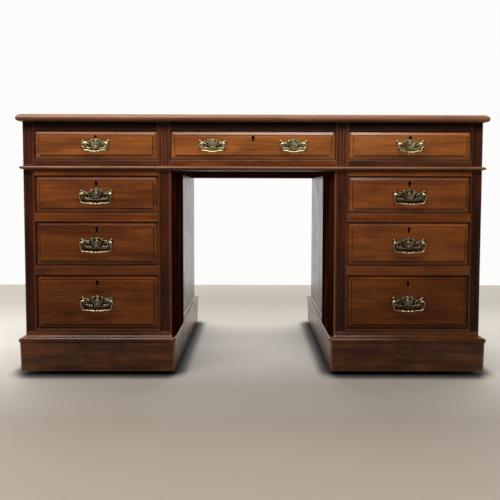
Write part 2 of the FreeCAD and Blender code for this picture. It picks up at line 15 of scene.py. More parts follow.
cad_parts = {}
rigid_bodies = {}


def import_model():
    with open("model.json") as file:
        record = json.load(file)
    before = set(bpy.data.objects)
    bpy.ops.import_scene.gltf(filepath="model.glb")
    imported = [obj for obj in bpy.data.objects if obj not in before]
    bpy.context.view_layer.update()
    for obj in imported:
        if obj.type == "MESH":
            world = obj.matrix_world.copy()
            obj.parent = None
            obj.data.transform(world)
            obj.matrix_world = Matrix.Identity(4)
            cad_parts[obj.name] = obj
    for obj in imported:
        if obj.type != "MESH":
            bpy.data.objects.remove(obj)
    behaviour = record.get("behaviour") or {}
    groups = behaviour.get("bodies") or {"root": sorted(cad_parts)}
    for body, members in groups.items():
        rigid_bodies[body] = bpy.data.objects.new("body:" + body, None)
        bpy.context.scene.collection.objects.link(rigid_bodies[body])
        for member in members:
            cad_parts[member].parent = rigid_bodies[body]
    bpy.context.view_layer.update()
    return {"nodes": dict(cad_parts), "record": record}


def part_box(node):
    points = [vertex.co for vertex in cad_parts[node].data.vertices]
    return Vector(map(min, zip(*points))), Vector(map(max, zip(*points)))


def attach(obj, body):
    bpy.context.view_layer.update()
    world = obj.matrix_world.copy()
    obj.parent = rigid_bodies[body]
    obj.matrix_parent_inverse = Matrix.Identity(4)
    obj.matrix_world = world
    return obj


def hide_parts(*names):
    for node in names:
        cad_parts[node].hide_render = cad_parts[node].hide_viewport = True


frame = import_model()
MM = 0.001
nodes = frame["nodes"]
behaviour = frame["record"]["behaviour"]
body_of = {node: body for body, names in behaviour["bodies"].items() for node in names}

# %% [markdown]
# ## The camera
# The photograph was taken from in front of the kneehole, a little above the height of the seat, with a
# short lens. The picture's horizon and the lines that run back along the plinths give the camera's height
# and distance. The lens looks slightly down, and the frame is shifted to keep the desk's place in it.

# %% Camera
IMAGE_SIDE = 500
FOCAL_PIXELS = 520
OPTICAL_AXIS_COLUMN, OPTICAL_AXIS_ROW = 254.9, 221.3
CAMERA_PLACE = Vector((0, -1855, 531))
CAMERA_TILT, CAMERA_ROLL, CAMERA_TURN = 2.7, -0.13, -0.21
SENSOR_WIDTH = 36

bpy.context.scene.view_settings.view_transform = "Standard"
bpy.ops.object.camera_add(location=CAMERA_PLACE * MM)
camera = bpy.context.object
bpy.context.scene.camera = camera
camera.data.sensor_width = SENSOR_WIDTH
camera.data.lens = SENSOR_WIDTH * FOCAL_PIXELS / IMAGE_SIDE
camera.data.shift_x = (IMAGE_SIDE / 2 - OPTICAL_AXIS_COLUMN) / IMAGE_SIDE
camera.data.shift_y = (OPTICAL_AXIS_ROW - IMAGE_SIDE / 2) / IMAGE_SIDE
camera.rotation_euler = [math.radians(angle) for angle in (90 - CAMERA_TILT, CAMERA_ROLL, CAMERA_TURN)]
print("lens", round(camera.data.lens, 1), "mm")

# %% [markdown]
# ## Colours and nodes
# A material is a small tree of nodes. One helper adds a node of any kind with its settings and links.
# Colours are written as a screen shows them, in hex, and another helper turns them into the linear values
# that light adds up in.

# %% Colours and nodes
# A Mix node has sockets for each kind of data: these are its two colours, its mixed colour and its two values
COLOUR_A, COLOUR_B, COLOUR_OUT = 6, 7, 2
VALUE_A, VALUE_B = 2, 3


def colour(code):
    """An sRGB hex colour as the linear values that shaders add up."""
    parts = [int(code[start:start + 2], 16) / 255 for start in (1, 3, 5)]
    linear = [part / 12.92 if part <= 0.04045 else ((part + 0.055) / 1.055) ** 2.4 for part in parts]
    return (*linear, 1.0)


def feed(node, inputs):
    """Sets a node's inputs; each is a value or another node's output."""
    for name, value in inputs.items():
        if isinstance(value, bpy.types.NodeSocket):
            node.id_data.links.new(value, node.inputs[name])
        else:
            node.inputs[name].default_value = value


def add_node(tree, kind, inputs, stops=(), **settings):
    """Adds a shader node and gives its outputs; stops are the places and colours on a colour ramp."""
    node = tree.nodes.new("ShaderNode" + kind)
    for name, value in settings.items():
        setattr(node, name, value)
    feed(node, inputs)
    for index, (position, code) in enumerate(stops):
        elements = node.color_ramp.elements
        element = elements[index] if index < len(elements) else elements.new(position)
        element.position = position
        element.color = colour(code)
    return node.outputs


def darkened(tree, tint, share):
    """A colour of which only a share is left."""
    veil = {"Factor": 1.0, COLOUR_A: tint, COLOUR_B: share}
    return add_node(tree, "Mix", veil, data_type="RGBA", blend_type="MULTIPLY")[COLOUR_OUT]


def new_material(name):
    """A material with its tree and its shader."""
    material = bpy.data.materials.new(name)
    material.use_nodes = True
    tree = material.node_tree
    return material, tree, tree.nodes["Principled BSDF"]


print("white is", colour("#ffffff"))

# %% [markdown]
# ## Floor, backdrop and light
# The room was bright: a white wall behind, a pale floor and broad light from above and in front.
# A plain floor and wall stand in for it. The wall looks white to the camera and in reflections. The rest of
# the room is kept dim, so that shadows stay deep and the polish doesn't turn the wood grey. The floor's
# colour carries painted light: it is painted palest round the middle of the desk, as a pool of light, and
# it is painted darker close to what stands on it, as the contact shadow under a heavy piece of furniture.

# %% Stage surfaces
STAGE_SIZE, STAGE_ROUGHNESS = 14, 0.75


def stage_plane(name, place, turn):
    """A large plain surface that isn't part of the desk."""
    bpy.ops.mesh.primitive_plane_add(size=STAGE_SIZE, location=place, rotation=turn)
    plane = bpy.context.object
    plane.name = name
    material, tree, shader = new_material(name + "_paint")
    feed(shader, {"Roughness": STAGE_ROUGHNESS})
    plane.data.materials.append(material)
    return plane, tree, shader


def clear_behind(tree, front):
    """Lets the desk be seen through the back of a stage surface."""
    behind = add_node(tree, "NewGeometry", {})["Backfacing"]
    clear = add_node(tree, "BsdfTransparent", {})[0]
    mixed = add_node(tree, "MixShader", {0: behind, 1: front, 2: clear})[0]
    feed(tree.nodes["Material Output"], {"Surface": mixed})


print("stage", STAGE_SIZE, "m wide")

# %% Floor
FLOOR_NEAR_Y, FLOOR_FAR_Y = -0.65, 0.75
# Painted light: the floor's colour is palest round the middle of the desk, as a pool of light
FLOOR_LIGHT_PAINTS = ((0.0, "#756b60"), (0.45, "#a69f97"), (1.0, "#857f74"))
CONTACT_SHADOW_MM, CONTACT_SHADOW_SAMPLES = 50, 8

floor, tree, shader = stage_plane("floor", (0, 0, 0), (0, 0, 0))
place = add_node(tree, "TexCoord", {})["Object"]
depth = add_node(tree, "SeparateXYZ", {"Vector": place})["Y"]
reach = {"Value": depth, "From Min": FLOOR_NEAR_Y, "From Max": FLOOR_FAR_Y}
far = add_node(tree, "MapRange", reach)[0]
paint = add_node(tree, "ValToRGB", {"Fac": far}, stops=FLOOR_LIGHT_PAINTS)["Color"]
# Painted contact shadow: the floor's colour darkens close to the desk standing on it
near = {"Distance": CONTACT_SHADOW_MM * MM}
openness = add_node(tree, "AmbientOcclusion", near, samples=CONTACT_SHADOW_SAMPLES)["AO"]
contact_shadow = {"Value": openness, "From Min": 0.72, "From Max": 1.0}
lit = add_node(tree, "MapRange", contact_shadow)[0]
feed(shader, {"Base Color": darkened(tree, paint, lit)})
clear_behind(tree, shader.outputs[0])
print("floor painted", [code for position, code in FLOOR_LIGHT_PAINTS], "on", floor.name)

# %% Wall and room
WALL_PAINT = "#fcfcfa"
WALL_Y, WALL_Z = 1.26, 5
WALL_GLOW, WORLD_LEVEL = 4.5, 0.08

wall, tree = stage_plane("wall", (0, WALL_Y, WALL_Z), (math.pi / 2, 0, 0))[:2]
wall.visible_shadow = False
path = add_node(tree, "LightPath", {})
seen = path["Is Camera Ray"]
for kind in ("Is Glossy Ray", "Is Transmission Ray"):
    seen = add_node(tree, "Math", {0: seen, 1: path[kind]}, operation="MAXIMUM")[0]
level = add_node(tree, "MapRange", {"Value": seen, "To Min": WALL_GLOW, "To Max": 1.0})[0]
clear_behind(tree, add_node(tree, "Emission", {"Color": colour(WALL_PAINT), "Strength": level})[0])

world = bpy.data.worlds.new("room")
bpy.context.scene.world = world
world.use_nodes = True
feed(world.node_tree.nodes["Background"], {"Color": colour(WALL_PAINT), "Strength": WORLD_LEVEL})
print("wall", WALL_Y, "m behind the middle of the desk")

# %% Lights
# Name, place and target in metres, width and height in metres, power in watts
LIGHTS = (
    ("ceiling_light", (-0.35, -1.15, 2.05), (-0.1, -0.3, 0.5), (2.6, 0.6), 66),
    ("window_light", (-2.4, -1.5, 2.3), (0, -0.3, 0.5), (1.2, 1.0), 14),
)


def softbox(name, place, target, size, power):
    """A broad lamp turned to a point on the desk."""
    bpy.ops.object.light_add(type="AREA", location=place)
    lamp = bpy.context.object
    lamp.name = name
    lamp.data.shape = "RECTANGLE"
    lamp.data.size, lamp.data.size_y = size
    lamp.data.energy = power
    lamp.rotation_euler = (Vector(target) - Vector(place)).to_track_quat("-Z", "Y").to_euler()


for light in LIGHTS:
    softbox(*light)
print(len(LIGHTS), "lights")

# %% [markdown]
# ## Walnut
# Walnut is brown wood with darker streaks along the grain and fine open pores. Old wax and polish give it
# a soft gloss. The pattern is noise drawn out along the grain: broad figure, streaks and pores, each at its
# own width. Every board carries a number of its own, which slides the pattern so that no two boards match.
# A hundred years of use show too, with painted light among it: corners are darkened with painted shade
# and grime, arrises are rubbed pale and carry a painted highlight, and the wood is darker towards the
# floor. The lowest drawers have lost most of their shine. The stiles are painted darkest close under the
# overhanging top, as its shadow. The shader finds corners and arrises by looking how near other surfaces are.

# %% Grain
# Width across the grain in millimetres, stretch along it, detail and distortion
GRAIN = {"figure": (48, 6, 5.0, 0.6), "streak": (7, 26, 5.0, 0.3), "pore": (1.1, 22, 3.0, 0.3)}
GRAIN_ROUGHNESS, STREAK_SHARE = 0.6, 0.4
DARK_TONE, PALE_TONE = 0.36, 0.66
BOARD_SLIDE, BOARD_DRIFT = (31.0, 53.0, 47.0), 0.06


def board_place(tree, spot, board):
    """A spot in the board's own stretch of the pattern."""
    slide = {0: board, 1: BOARD_SLIDE}
    offset = add_node(tree, "VectorMath", slide, operation="MULTIPLY")[0]
    return add_node(tree, "VectorMath", {0: spot, 1: offset}, operation="ADD")[0]


def grain_noise(tree, place, grain):
    """Figure, streaks and pores: noise at three widths, drawn out along the grain."""
    noise = {}
    for name, (width, stretch, detail, distortion) in GRAIN.items():
        across = 1 / (width * MM)
        scale = [across / stretch if axis == grain else across for axis in "XYZ"]
        mapping = add_node(tree, "Mapping", {"Vector": place, "Scale": scale})
        noise[name] = add_node(tree, "TexNoise", {
            "Vector": mapping[0], "Scale": 1.0, "Detail": detail, "Roughness": GRAIN_ROUGHNESS,
            "Distortion": distortion,
        })["Fac"]
    return noise


def grain_colour(tree, noise, board, pale, dark):
    """The wood's colour from its figure and streaks; each board leans a little to pale or dark."""
    drift = {"Value": board, "To Min": -BOARD_DRIFT, "To Max": BOARD_DRIFT}
    lean = add_node(tree, "MapRange", drift)[0]
    both = {"Factor": STREAK_SHARE, VALUE_A: noise["figure"], VALUE_B: noise["streak"]}
    mixed = add_node(tree, "Mix", both, data_type="FLOAT")[0]
    tone = add_node(tree, "Math", {0: mixed, 1: lean}, operation="ADD")[0]
    stops = ((DARK_TONE, dark), (PALE_TONE, pale))
    return add_node(tree, "ValToRGB", {"Fac": tone}, stops=stops)["Color"]


print("grain", {name: values[0] for name, values in GRAIN.items()}, "mm wide")

# %% Age and painted light
SHADE_AND_GRIME_MM, WEAR_AND_HIGHLIGHT_MM, TOP_SHADOW_MM, AGE_AND_LIGHT_SAMPLES = 22, 4, 10, 6
LOW_FOOT, LOW_TOP = 0.1, 0.5
# Pale arris colour: wear, and a painted highlight where light catches the edges
WORN_EDGE_HIGHLIGHT_CODE = "#8a5c40"
FRIEZE_DRAWER_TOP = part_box("frieze_centre_drawer_front")[1].z


def colour_left(tree, pores, patches, height, soil):
    """Share of colour the wood keeps: pores, patches, low parts, painted shade and grime in corners."""
    near = {"Distance": SHADE_AND_GRIME_MM * MM}
    # Painted shade with grime: the colour darkens in corners and recesses, where other surfaces are near
    corner = add_node(tree, "AmbientOcclusion", near, samples=AGE_AND_LIGHT_SAMPLES)["AO"]
    dirt = {"Value": patches, "From Min": 0.38, "From Max": 0.62, "To Min": 1.0 - soil, "To Max": 1.0}
    shade_and_grime = {"Value": corner, "From Min": 0.3, "From Max": 0.85, "To Min": 0.12, "To Max": 1.0}
    low = {"Value": height, "From Min": LOW_FOOT, "From Max": LOW_TOP, "To Min": 0.5, "To Max": 1.0}
    share = pores
    for darkening in (dirt, shade_and_grime, low):
        factor = add_node(tree, "MapRange", darkening)[0]
        share = add_node(tree, "Math", {0: share, 1: factor}, operation="MULTIPLY")[0]
    return share


def rubbed_and_highlit(tree, tint, code):
    """A colour paler on the arrises: wear where hands and dusters rub, and a painted highlight on the edge.
    """
    near = {"Distance": WEAR_AND_HIGHLIGHT_MM * MM}
    inward = {"samples": AGE_AND_LIGHT_SAMPLES, "inside": True, "only_local": True}
    arris = add_node(tree, "AmbientOcclusion", near, **inward)["AO"]
    worn_and_lit = {"Value": arris, "From Min": 0.4, "From Max": 0.85, "To Min": 0.55, "To Max": 0.0}
    share = add_node(tree, "MapRange", worn_and_lit)[0]
    edge = {"Factor": share, COLOUR_A: tint, COLOUR_B: colour(code)}
    return add_node(tree, "Mix", edge, data_type="RGBA")[COLOUR_OUT]


def shaded_by_top(tree, tint, height, overhung):
    """A colour with painted shadow close under the top: only the overhung share of it is left there."""
    top_shadow = {
        "Value": height, "From Min": FRIEZE_DRAWER_TOP - TOP_SHADOW_MM * MM,
        "From Max": FRIEZE_DRAWER_TOP + TOP_SHADOW_MM * MM, "To Min": 1.0, "To Max": overhung,
    }
    return darkened(tree, tint, add_node(tree, "MapRange", top_shadow)[0])


print("darker from", LOW_TOP, "m down and from", round(FRIEZE_DRAWER_TOP, 3), "m up")

# %% Woods
PATCH_MM, PORE_DEPTH_MM = 90, 0.15
ROUGH_DRIFT, COAT_ROUGHNESS, COAT_SHARE = 0.07, 0.2, 0.5
# Share of the stiles' colour left in the painted shadow close under the top
OVERHUNG = 0.35


def wood(name, pale, dark, grain, rough, soil=0.0, polish=0.35, rub_highlight_code=WORN_EDGE_HIGHLIGHT_CODE, overhung=1.0):
    """Wood with its grain along X, Y or Z; soil darkens it in patches, polish makes it shine."""
    material, tree, shader = new_material(name)
    spot = add_node(tree, "TexCoord", {})["Object"]
    height = add_node(tree, "SeparateXYZ", {"Vector": spot})["Z"]
    board = add_node(tree, "Attribute", {}, attribute_name="board")["Fac"]
    place = board_place(tree, spot, board)
    noise = grain_noise(tree, place, grain)
    hollow = {"Value": noise["pore"], "From Min": 0.30, "From Max": 0.44, "To Min": 0.66, "To Max": 1.0}
    pores = add_node(tree, "MapRange", hollow)[0]
    cloud = {"Vector": place, "Scale": 1 / (PATCH_MM * MM), "Detail": 4.0, "Roughness": 0.7}
    patches = add_node(tree, "TexNoise", cloud)["Fac"]
    tint = grain_colour(tree, noise, board, pale, dark)
    # Pores, dirt and painted corner shade darken the colour; arrises get wear and a painted highlight
    tint = darkened(tree, tint, colour_left(tree, pores, patches, height, soil))
    tint = shaded_by_top(tree, rubbed_and_highlit(tree, tint, rub_highlight_code), height, overhung)
    shine = {
        "Value": patches, "From Min": 0.3, "From Max": 0.7, "To Min": rough + ROUGH_DRIFT,
        "To Max": rough - ROUGH_DRIFT,
    }
    relief = {"Height": pores, "Strength": 0.2, "Distance": PORE_DEPTH_MM * MM}
    feed(shader, {
        "Base Color": tint, "Roughness": add_node(tree, "MapRange", shine)[0],
        "Normal": add_node(tree, "Bump", relief)[0], "Specular IOR Level": polish,
        "Coat Weight": polish * COAT_SHARE, "Coat Roughness": COAT_ROUGHNESS,
    })
    return material


print("polish coat", COAT_SHARE, "of the wood's own shine")

# %% Woods of the case
rail_wood = wood("rail_walnut", "#8e4c1e", "#54260c", "X", 0.34, soil=0.25, polish=0.22)
shaded_rail_wood = wood("shaded_rail_walnut", "#6c3c22", "#3c1e10", "X", 0.34, soil=0.25, polish=0.22)
# Painted shade: the top rail lies in the top's shadow, so its wood is near black
top_rail_shade_wood = wood("top_rail_shadow_walnut", "#341a0f", "#180a05", "X", 0.5, soil=0.3, polish=0.1)
# Painted shade: the inside boards are near-black wood without shine, as the shade inside the case
inside_shade_wood = wood("inside_shadow_walnut", "#34190c", "#180b05", "Y", 0.8, soil=0.3, polish=0.0)
side_wood = wood("side_walnut", "#5a2c1a", "#2a120a", "Z", 0.34, soil=0.25, polish=0.5)
end_wood = wood("end_walnut", "#6a3419", "#34160b", "Y", 0.34, soil=0.25)
# Painted shade: the canted pilasters at the kneehole are near-black wood without shine
pilaster_shade_wood = wood("pilaster_shadow_walnut", "#42190c", "#140704", "Z", 0.7, soil=0.3, polish=0.0)
# Painted shade: the flutes' hollows get darker woods of their own
stile_wood, frieze_stile_wood, fluting_shade_wood, frieze_fluting_shade_wood = [
    wood(name, pale, dark, "Z", rough, soil, polish, overhung=OVERHUNG)
    for name, pale, dark, rough, soil, polish in (
        ("stile_walnut", "#682e14", "#1a0a05", 0.34, 0.25, 0.2),
        ("frieze_stile_walnut", "#86461f", "#3a190b", 0.34, 0.2, 0.35),
        ("fluting_shadow_walnut", "#552411", "#200d06", 0.5, 0.3, 0.15),
        ("frieze_fluting_shadow_walnut", "#843f20", "#4a2411", 0.5, 0.3, 0.15),
    )
]
case_woods = [
    rail_wood, shaded_rail_wood, inside_shade_wood, stile_wood, side_wood, frieze_stile_wood, pilaster_shade_wood,
    fluting_shade_wood, frieze_fluting_shade_wood, top_rail_shade_wood, end_wood,
]
print("case woods", len(case_woods))

# %% Woods of the top, drawers and plinths
top_wood = wood("top_walnut", "#8f6044", "#654029", "X", 0.36, soil=0.1, polish=0.2)
band_wood = wood("band_walnut", "#643a22", "#3c2010", "X", 0.34, soil=0.15)
frieze_wood = wood("frieze_drawer_walnut", "#a4602a", "#683612", "X", 0.32, soil=0.15)
pedestal_woods = {
    tier: wood(tier + "_drawer_walnut", "#8a4a1d", "#502308", "X", 0.32, soil=0.25, polish=polish)
    for tier, polish in (("upper", 0.33), ("middle", 0.25), ("lower", 0.12))
}
plinth_woods = [
    wood("plinth_" + label + "_walnut", "#a25a20", "#522406", grain, 0.25, soil=0.5, polish=0.28)
    for label, grain in (("front", "X"), ("side", "Y"))
]
oaks = [
    wood("drawer_" + label + "_oak", "#b8935f", "#94703f", grain, 0.62, rub_highlight_code="#c4a474")
    for label, grain in (("back", "X"), ("side", "Y"))
]
print(len(bpy.data.materials), "materials")

# %% [markdown]
# ## Brass, iron, leather and gilding
# The brass was cast and chased, then left to darken. Rubbing keeps the high parts pale while the ground
# stays brown, so the colour follows the height above the drawer front. The bails are handled most and are
# the palest. The top section's handles are a more golden brass, and the castors a duller one with iron
# wheels. The locks behind the keyholes and the rims round them are near black, as painted shade that keeps
# the keyholes dark. The leather is green hide with gold lines tooled round it.

# %% Metals
FIELD_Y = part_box("left_lower_drawer_front")[0].y
GROUND_RISE, RELIEF_RISE, RELIEF_SHARE = 1.7, 3.2, 0.75
STAIN_MM, DULL_DRIFT = 5, 0.15


def metal(name, pale, dark, rough, relief=0.0):
    """Old metal, pale where it is rubbed; relief is the share of that which its height decides."""
    material, tree, shader = new_material(name)
    place = add_node(tree, "TexCoord", {})["Object"]
    cloud = {"Vector": place, "Scale": 1 / (STAIN_MM * MM), "Detail": 4.0}
    stain = add_node(tree, "TexNoise", cloud)["Fac"]
    depth = add_node(tree, "SeparateXYZ", {"Vector": place})["Y"]
    rise = {"Value": depth, "From Min": FIELD_Y - GROUND_RISE * MM, "From Max": FIELD_Y - RELIEF_RISE * MM}
    height = add_node(tree, "MapRange", rise)[0]
    worn = {"Factor": relief, VALUE_A: stain, VALUE_B: height}
    mixed = add_node(tree, "Mix", worn, data_type="FLOAT")[0]
    stops = ((0.15, dark), (0.75, pale))
    tint = add_node(tree, "ValToRGB", {"Fac": mixed}, stops=stops)["Color"]
    spread = {"Value": mixed, "To Min": rough + DULL_DRIFT, "To Max": rough}
    dull = add_node(tree, "MapRange", spread)[0]
    feed(shader, {"Base Color": tint, "Roughness": dull, "Metallic": 1.0})
    return material


brass = metal("antique_brass", "#c2b38f", "#282114", 0.3, RELIEF_SHARE)
frieze_brass = metal("golden_brass", "#d2c596", "#564a30", 0.32, RELIEF_SHARE)
# Painted shade: locks and keyhole rims are near black, so that the keyholes read dark
keyhole_shade_brass = metal("keyhole_shadow_brass", "#1e170e", "#0c0905", 0.55)
castor_brass = metal("tarnished_brass", "#7d6636", "#3d2f16", 0.42)
iron = metal("worn_iron", "#4c4844", "#24211f", 0.5)
gilt = metal("gilt_tooling", "#d9b660", "#a8843a", 0.35)
print("brass is rubbed from", GROUND_RISE, "to", RELIEF_RISE, "mm above the drawer fronts")

# %% Leather
CLOUD_MM, PEBBLE_MM, PEBBLE_DEPTH_MM, HIDE_ROUGHNESS = 120, 1.6, 0.2, 0.45


def hide(name, pale, dark):
    """Waxed leather with a fine pebbled grain."""
    material, tree, shader = new_material(name)
    place = add_node(tree, "TexCoord", {})["Object"]
    cloud = {"Vector": place, "Scale": 1 / (CLOUD_MM * MM), "Detail": 5.0}
    tone = add_node(tree, "TexNoise", cloud)["Fac"]
    stops = ((0.35, dark), (0.7, pale))
    tint = add_node(tree, "ValToRGB", {"Fac": tone}, stops=stops)["Color"]
    pebble = add_node(tree, "TexVoronoi", {"Vector": place, "Scale": 1 / (PEBBLE_MM * MM)})
    relief = {"Height": pebble["Distance"], "Strength": 0.3, "Distance": PEBBLE_DEPTH_MM * MM}
    normal = add_node(tree, "Bump", relief)[0]
    feed(shader, {"Base Color": tint, "Roughness": HIDE_ROUGHNESS, "Normal": normal})
    return material


leather = hide("green_leather", "#1c3c2b", "#12291d")
print("pebbles", PEBBLE_MM, "mm wide")

# %% Plinths, drawer boxes and castors
CAD_FINISH = {
    "_plinth": plinth_woods, "_drawer_box": oaks, "_castor_fork": [castor_brass], "_castor_wheel": [iron],
}


def finish_node(node, materials):
    """Gives a node its materials; of two, the second is for boards that face sideways."""
    node.data.materials.clear()
    for material in materials:
        node.data.materials.append(material)
    for face in node.data.polygons:
        sideways = abs(face.normal.x) > abs(face.normal.y)
        face.material_index = len(materials) - 1 if sideways else 0


for name, node in nodes.items():
    for ending, materials in CAD_FINISH.items():
        if name.endswith(ending):
            finish_node(node, materials)
print(len(bpy.data.materials), "materials")

# %% [markdown]
# ## Boards
# A cabinetmaker planes each board square, then takes off the sharp arrises, which would splinter and which
# polish wears through first. A cube, scaled to the board and bevelled, does the same. The sizes come from
# the frame: the drawer openings from the drawers that fill them, the case from its own node.

# %% Sizes from the frame
DRAWER_GAP = 1.0
FRAME_BOARD, SIDE_BOARD, BACK_BOARD, DUST_BOARD, PARTITION = 22, 18, 10, 12, 18
RUNNER_WIDTH, RUNNER_HEIGHT, GUIDE_HEIGHT = 34, 18, 24


def span(node, axis):
    """Where a node begins and ends along X, Y or Z, in millimetres."""
    low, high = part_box(node)
    place = "XYZ".index(axis)
    return low[place] / MM, high[place] / MM


def opening(drawer, axis):
    """The opening that a drawer's front fills, in millimetres."""
    low, high = span(drawer + "_drawer_front", axis)
    return low - DRAWER_GAP, high + DRAWER_GAP


OPEN_IN, OPEN_OUT = opening("right_lower", "X")
KNEE_HALF = opening("frieze_centre", "X")[1]
FRIEZE_Z = opening("frieze_centre", "Z")
TIERS_Z = [opening("right_" + tier, "Z") for tier in ("lower", "middle", "upper")]
CASE_FRONT, CASE_BACK = span("right_pedestal_case", "Y")
CASE_HALF = span("right_pedestal_case", "X")[1]
PLINTH_TOP = span("right_plinth", "Z")[1]
PEDESTAL_TOP = span("right_pedestal_case", "Z")[1]
FRIEZE_TOP = span("frieze_case", "Z")[1]
FRAME_BACK = CASE_FRONT + FRAME_BOARD
INNER_BACK = CASE_BACK - BACK_BOARD
print("opening heights", [round(top - low, 1) for low, top in TIERS_Z + [FRIEZE_Z]], "mm")

# %% Cutting and easing
EASE, EASE_ANGLE, EASE_STEPS = 0.9, 28, 2


def apply_modifier(piece, kind, **settings):
    """Adds a modifier, sets it and applies it to the mesh."""
    modifier = piece.modifiers.new(kind.lower(), kind)
    for name, value in settings.items():
        setattr(modifier, name, value)
    bpy.context.view_layer.objects.active = piece
    bpy.ops.object.modifier_apply(modifier=modifier.name)


def soften(piece, width=EASE, angle=EASE_ANGLE):
    """Takes off the arrises that are sharper than an angle."""
    limit = {"limit_method": "ANGLE", "angle_limit": math.radians(angle)}
    apply_modifier(piece, "BEVEL", width=width * MM, segments=EASE_STEPS, **limit)


def cut(piece, cutter):
    """Cuts one piece out of another and throws the cutter away."""
    apply_modifier(piece, "BOOLEAN", object=cutter, operation="DIFFERENCE", solver="EXACT")
    bpy.data.objects.remove(cutter)


def block(x, y, z, finishes, index=0):
    """A square block between two corners, in millimetres, with its materials and the one it shows."""
    low = Vector((x[0], y[0], z[0])) * MM
    size = Vector((x[1], y[1], z[1])) * MM - low
    bpy.ops.mesh.primitive_cube_add(size=1, location=low + size / 2, scale=size)
    bpy.ops.object.transform_apply()
    piece = bpy.context.object
    for material in finishes:
        piece.data.materials.append(material)
    for face in piece.data.polygons:
        face.material_index = index
    return piece


print("arrises eased by", EASE, "mm")

# %% Making and joining boards
BOARD_SEED = 7
MIRROR = Matrix.Scale(-1, 4, (1, 0, 0))
dice = random.Random(BOARD_SEED)


def number(piece):
    """Gives a board the number that moves its wood pattern."""
    value = dice.random()
    attribute = piece.data.attributes.new("board", "FLOAT", "POINT")
    attribute.data.foreach_set("value", [value] * len(piece.data.vertices))
    return piece


def board(x, y, z, finish):
    """A planed case board with eased arrises."""
    piece = block(x, y, z, case_woods, case_woods.index(finish))
    soften(piece)
    return number(piece)


def select(pieces):
    """Selects pieces and makes the first one active."""
    bpy.ops.object.select_all(action="DESELECT")
    for piece in pieces:
        piece.select_set(True)
    bpy.context.view_layer.objects.active = pieces[0]


def join(pieces, name):
    """Joins pieces into one object."""
    select(pieces)
    bpy.ops.object.join()
    pieces[0].name = name
    return pieces[0]


def copied(piece, name, matrix):
    """A copy with a mesh of its own, moved or mirrored in the mesh."""
    copy = piece.copy()
    copy.data = piece.data.copy()
    copy.name = name
    copy.data.transform(matrix)
    if matrix.determinant() < 0:
        copy.data.flip_normals()
    bpy.context.scene.collection.objects.link(copy)
    return copy


def dress(piece, node):
    """Lets a finished piece stand for a node: it rides on the node's body, and the node is hidden."""
    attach(piece, body_of[node])
    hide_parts(node)


print("boards numbered from seed", BOARD_SEED)

# %% [markdown]
# ## Stiles and their flutes
# The upright stiles at the front are worked with flutes: shallow hollows run down the face with a round
# plane and stopped short of the ends. The inner stiles of the top section have three narrow ones, the rest
# a single wide one. A block with rounded edges is the shape of the tool's path, so it cuts the flute, and
# it leaves its own darker wood there, which paints shade into the hollows.

# %% Stiles
FLUTE_MARGIN, FLUTE_GAP, FLUTE_DEPTH, FLUTE_STOP, FRIEZE_FLUTES = 6, 3, 2.5, 3, 3
FLUTE_ROUND_SHARE = 0.9
BEAD_LIFT, BEAD_HEIGHT, BEAD_REACH = 3, 10, 9


def stile(x, z, flutes, low, finish, hollow=fluting_shade_wood):
    """A fluted front stile; low is where its flutes begin, hollow the darker wood, painted shade, inside
    them.
    """
    piece = block(x, (CASE_FRONT, FRAME_BACK), z, case_woods, case_woods.index(finish))
    pitch = (x[1] - x[0] - 2 * FLUTE_MARGIN + FLUTE_GAP) / flutes
    for index in range(flutes):
        left = x[0] + FLUTE_MARGIN + index * pitch
        depth = (CASE_FRONT - FLUTE_DEPTH, CASE_FRONT + FLUTE_DEPTH)
        across = (left, left + pitch - FLUTE_GAP)
        tool = block(across, depth, (low, z[1] - FLUTE_STOP), case_woods, case_woods.index(hollow))
        soften(tool, FLUTE_DEPTH * FLUTE_ROUND_SHARE)
        cut(piece, tool)
    soften(piece)
    return number(piece)


inner_x, outer_x = (KNEE_HALF, OPEN_IN), (OPEN_OUT, CASE_HALF)
flute_low = PEDESTAL_TOP + BEAD_LIFT + BEAD_HEIGHT + FLUTE_STOP
frieze_height = (PEDESTAL_TOP, FRIEZE_TOP)
frieze_half = [
    stile(outer_x, frieze_height, 1, flute_low, stile_wood),
    stile(inner_x, frieze_height, FRIEZE_FLUTES, flute_low, frieze_stile_wood, frieze_fluting_shade_wood),
]
case_height = (PLINTH_TOP, PEDESTAL_TOP)
pedestal_case = [
    stile(across, case_height, 1, PLINTH_TOP + FLUTE_STOP, stile_wood) for across in (inner_x, outer_x)
]
print("stiles", len(frieze_half) + len(pedestal_case))

# %% [markdown]
# ## The pilasters at the kneehole
# The corner of each pedestal next to the kneehole is canted, so that a sitter's knees don't meet a sharp
# edge. A block loses its corner to a slanting plane, and a groove beside the arris draws a thin line of
# light down the corner.

# %% Pilaster
PILASTER_CANT, PILASTER_DEPTH, PILASTER_QUIRK, PILASTER_EASE = 86, 179, 3, 0.6
CUTTER_SIDES, CUTTER_LENGTH = 4, 1000
PILASTER_SHADE_WOOD = case_woods.index(pilaster_shade_wood)
PILASTER_FACE, PILASTER_FOOT = span("right_pedestal_case", "X")[0], span("right_pedestal_case", "Z")[0]


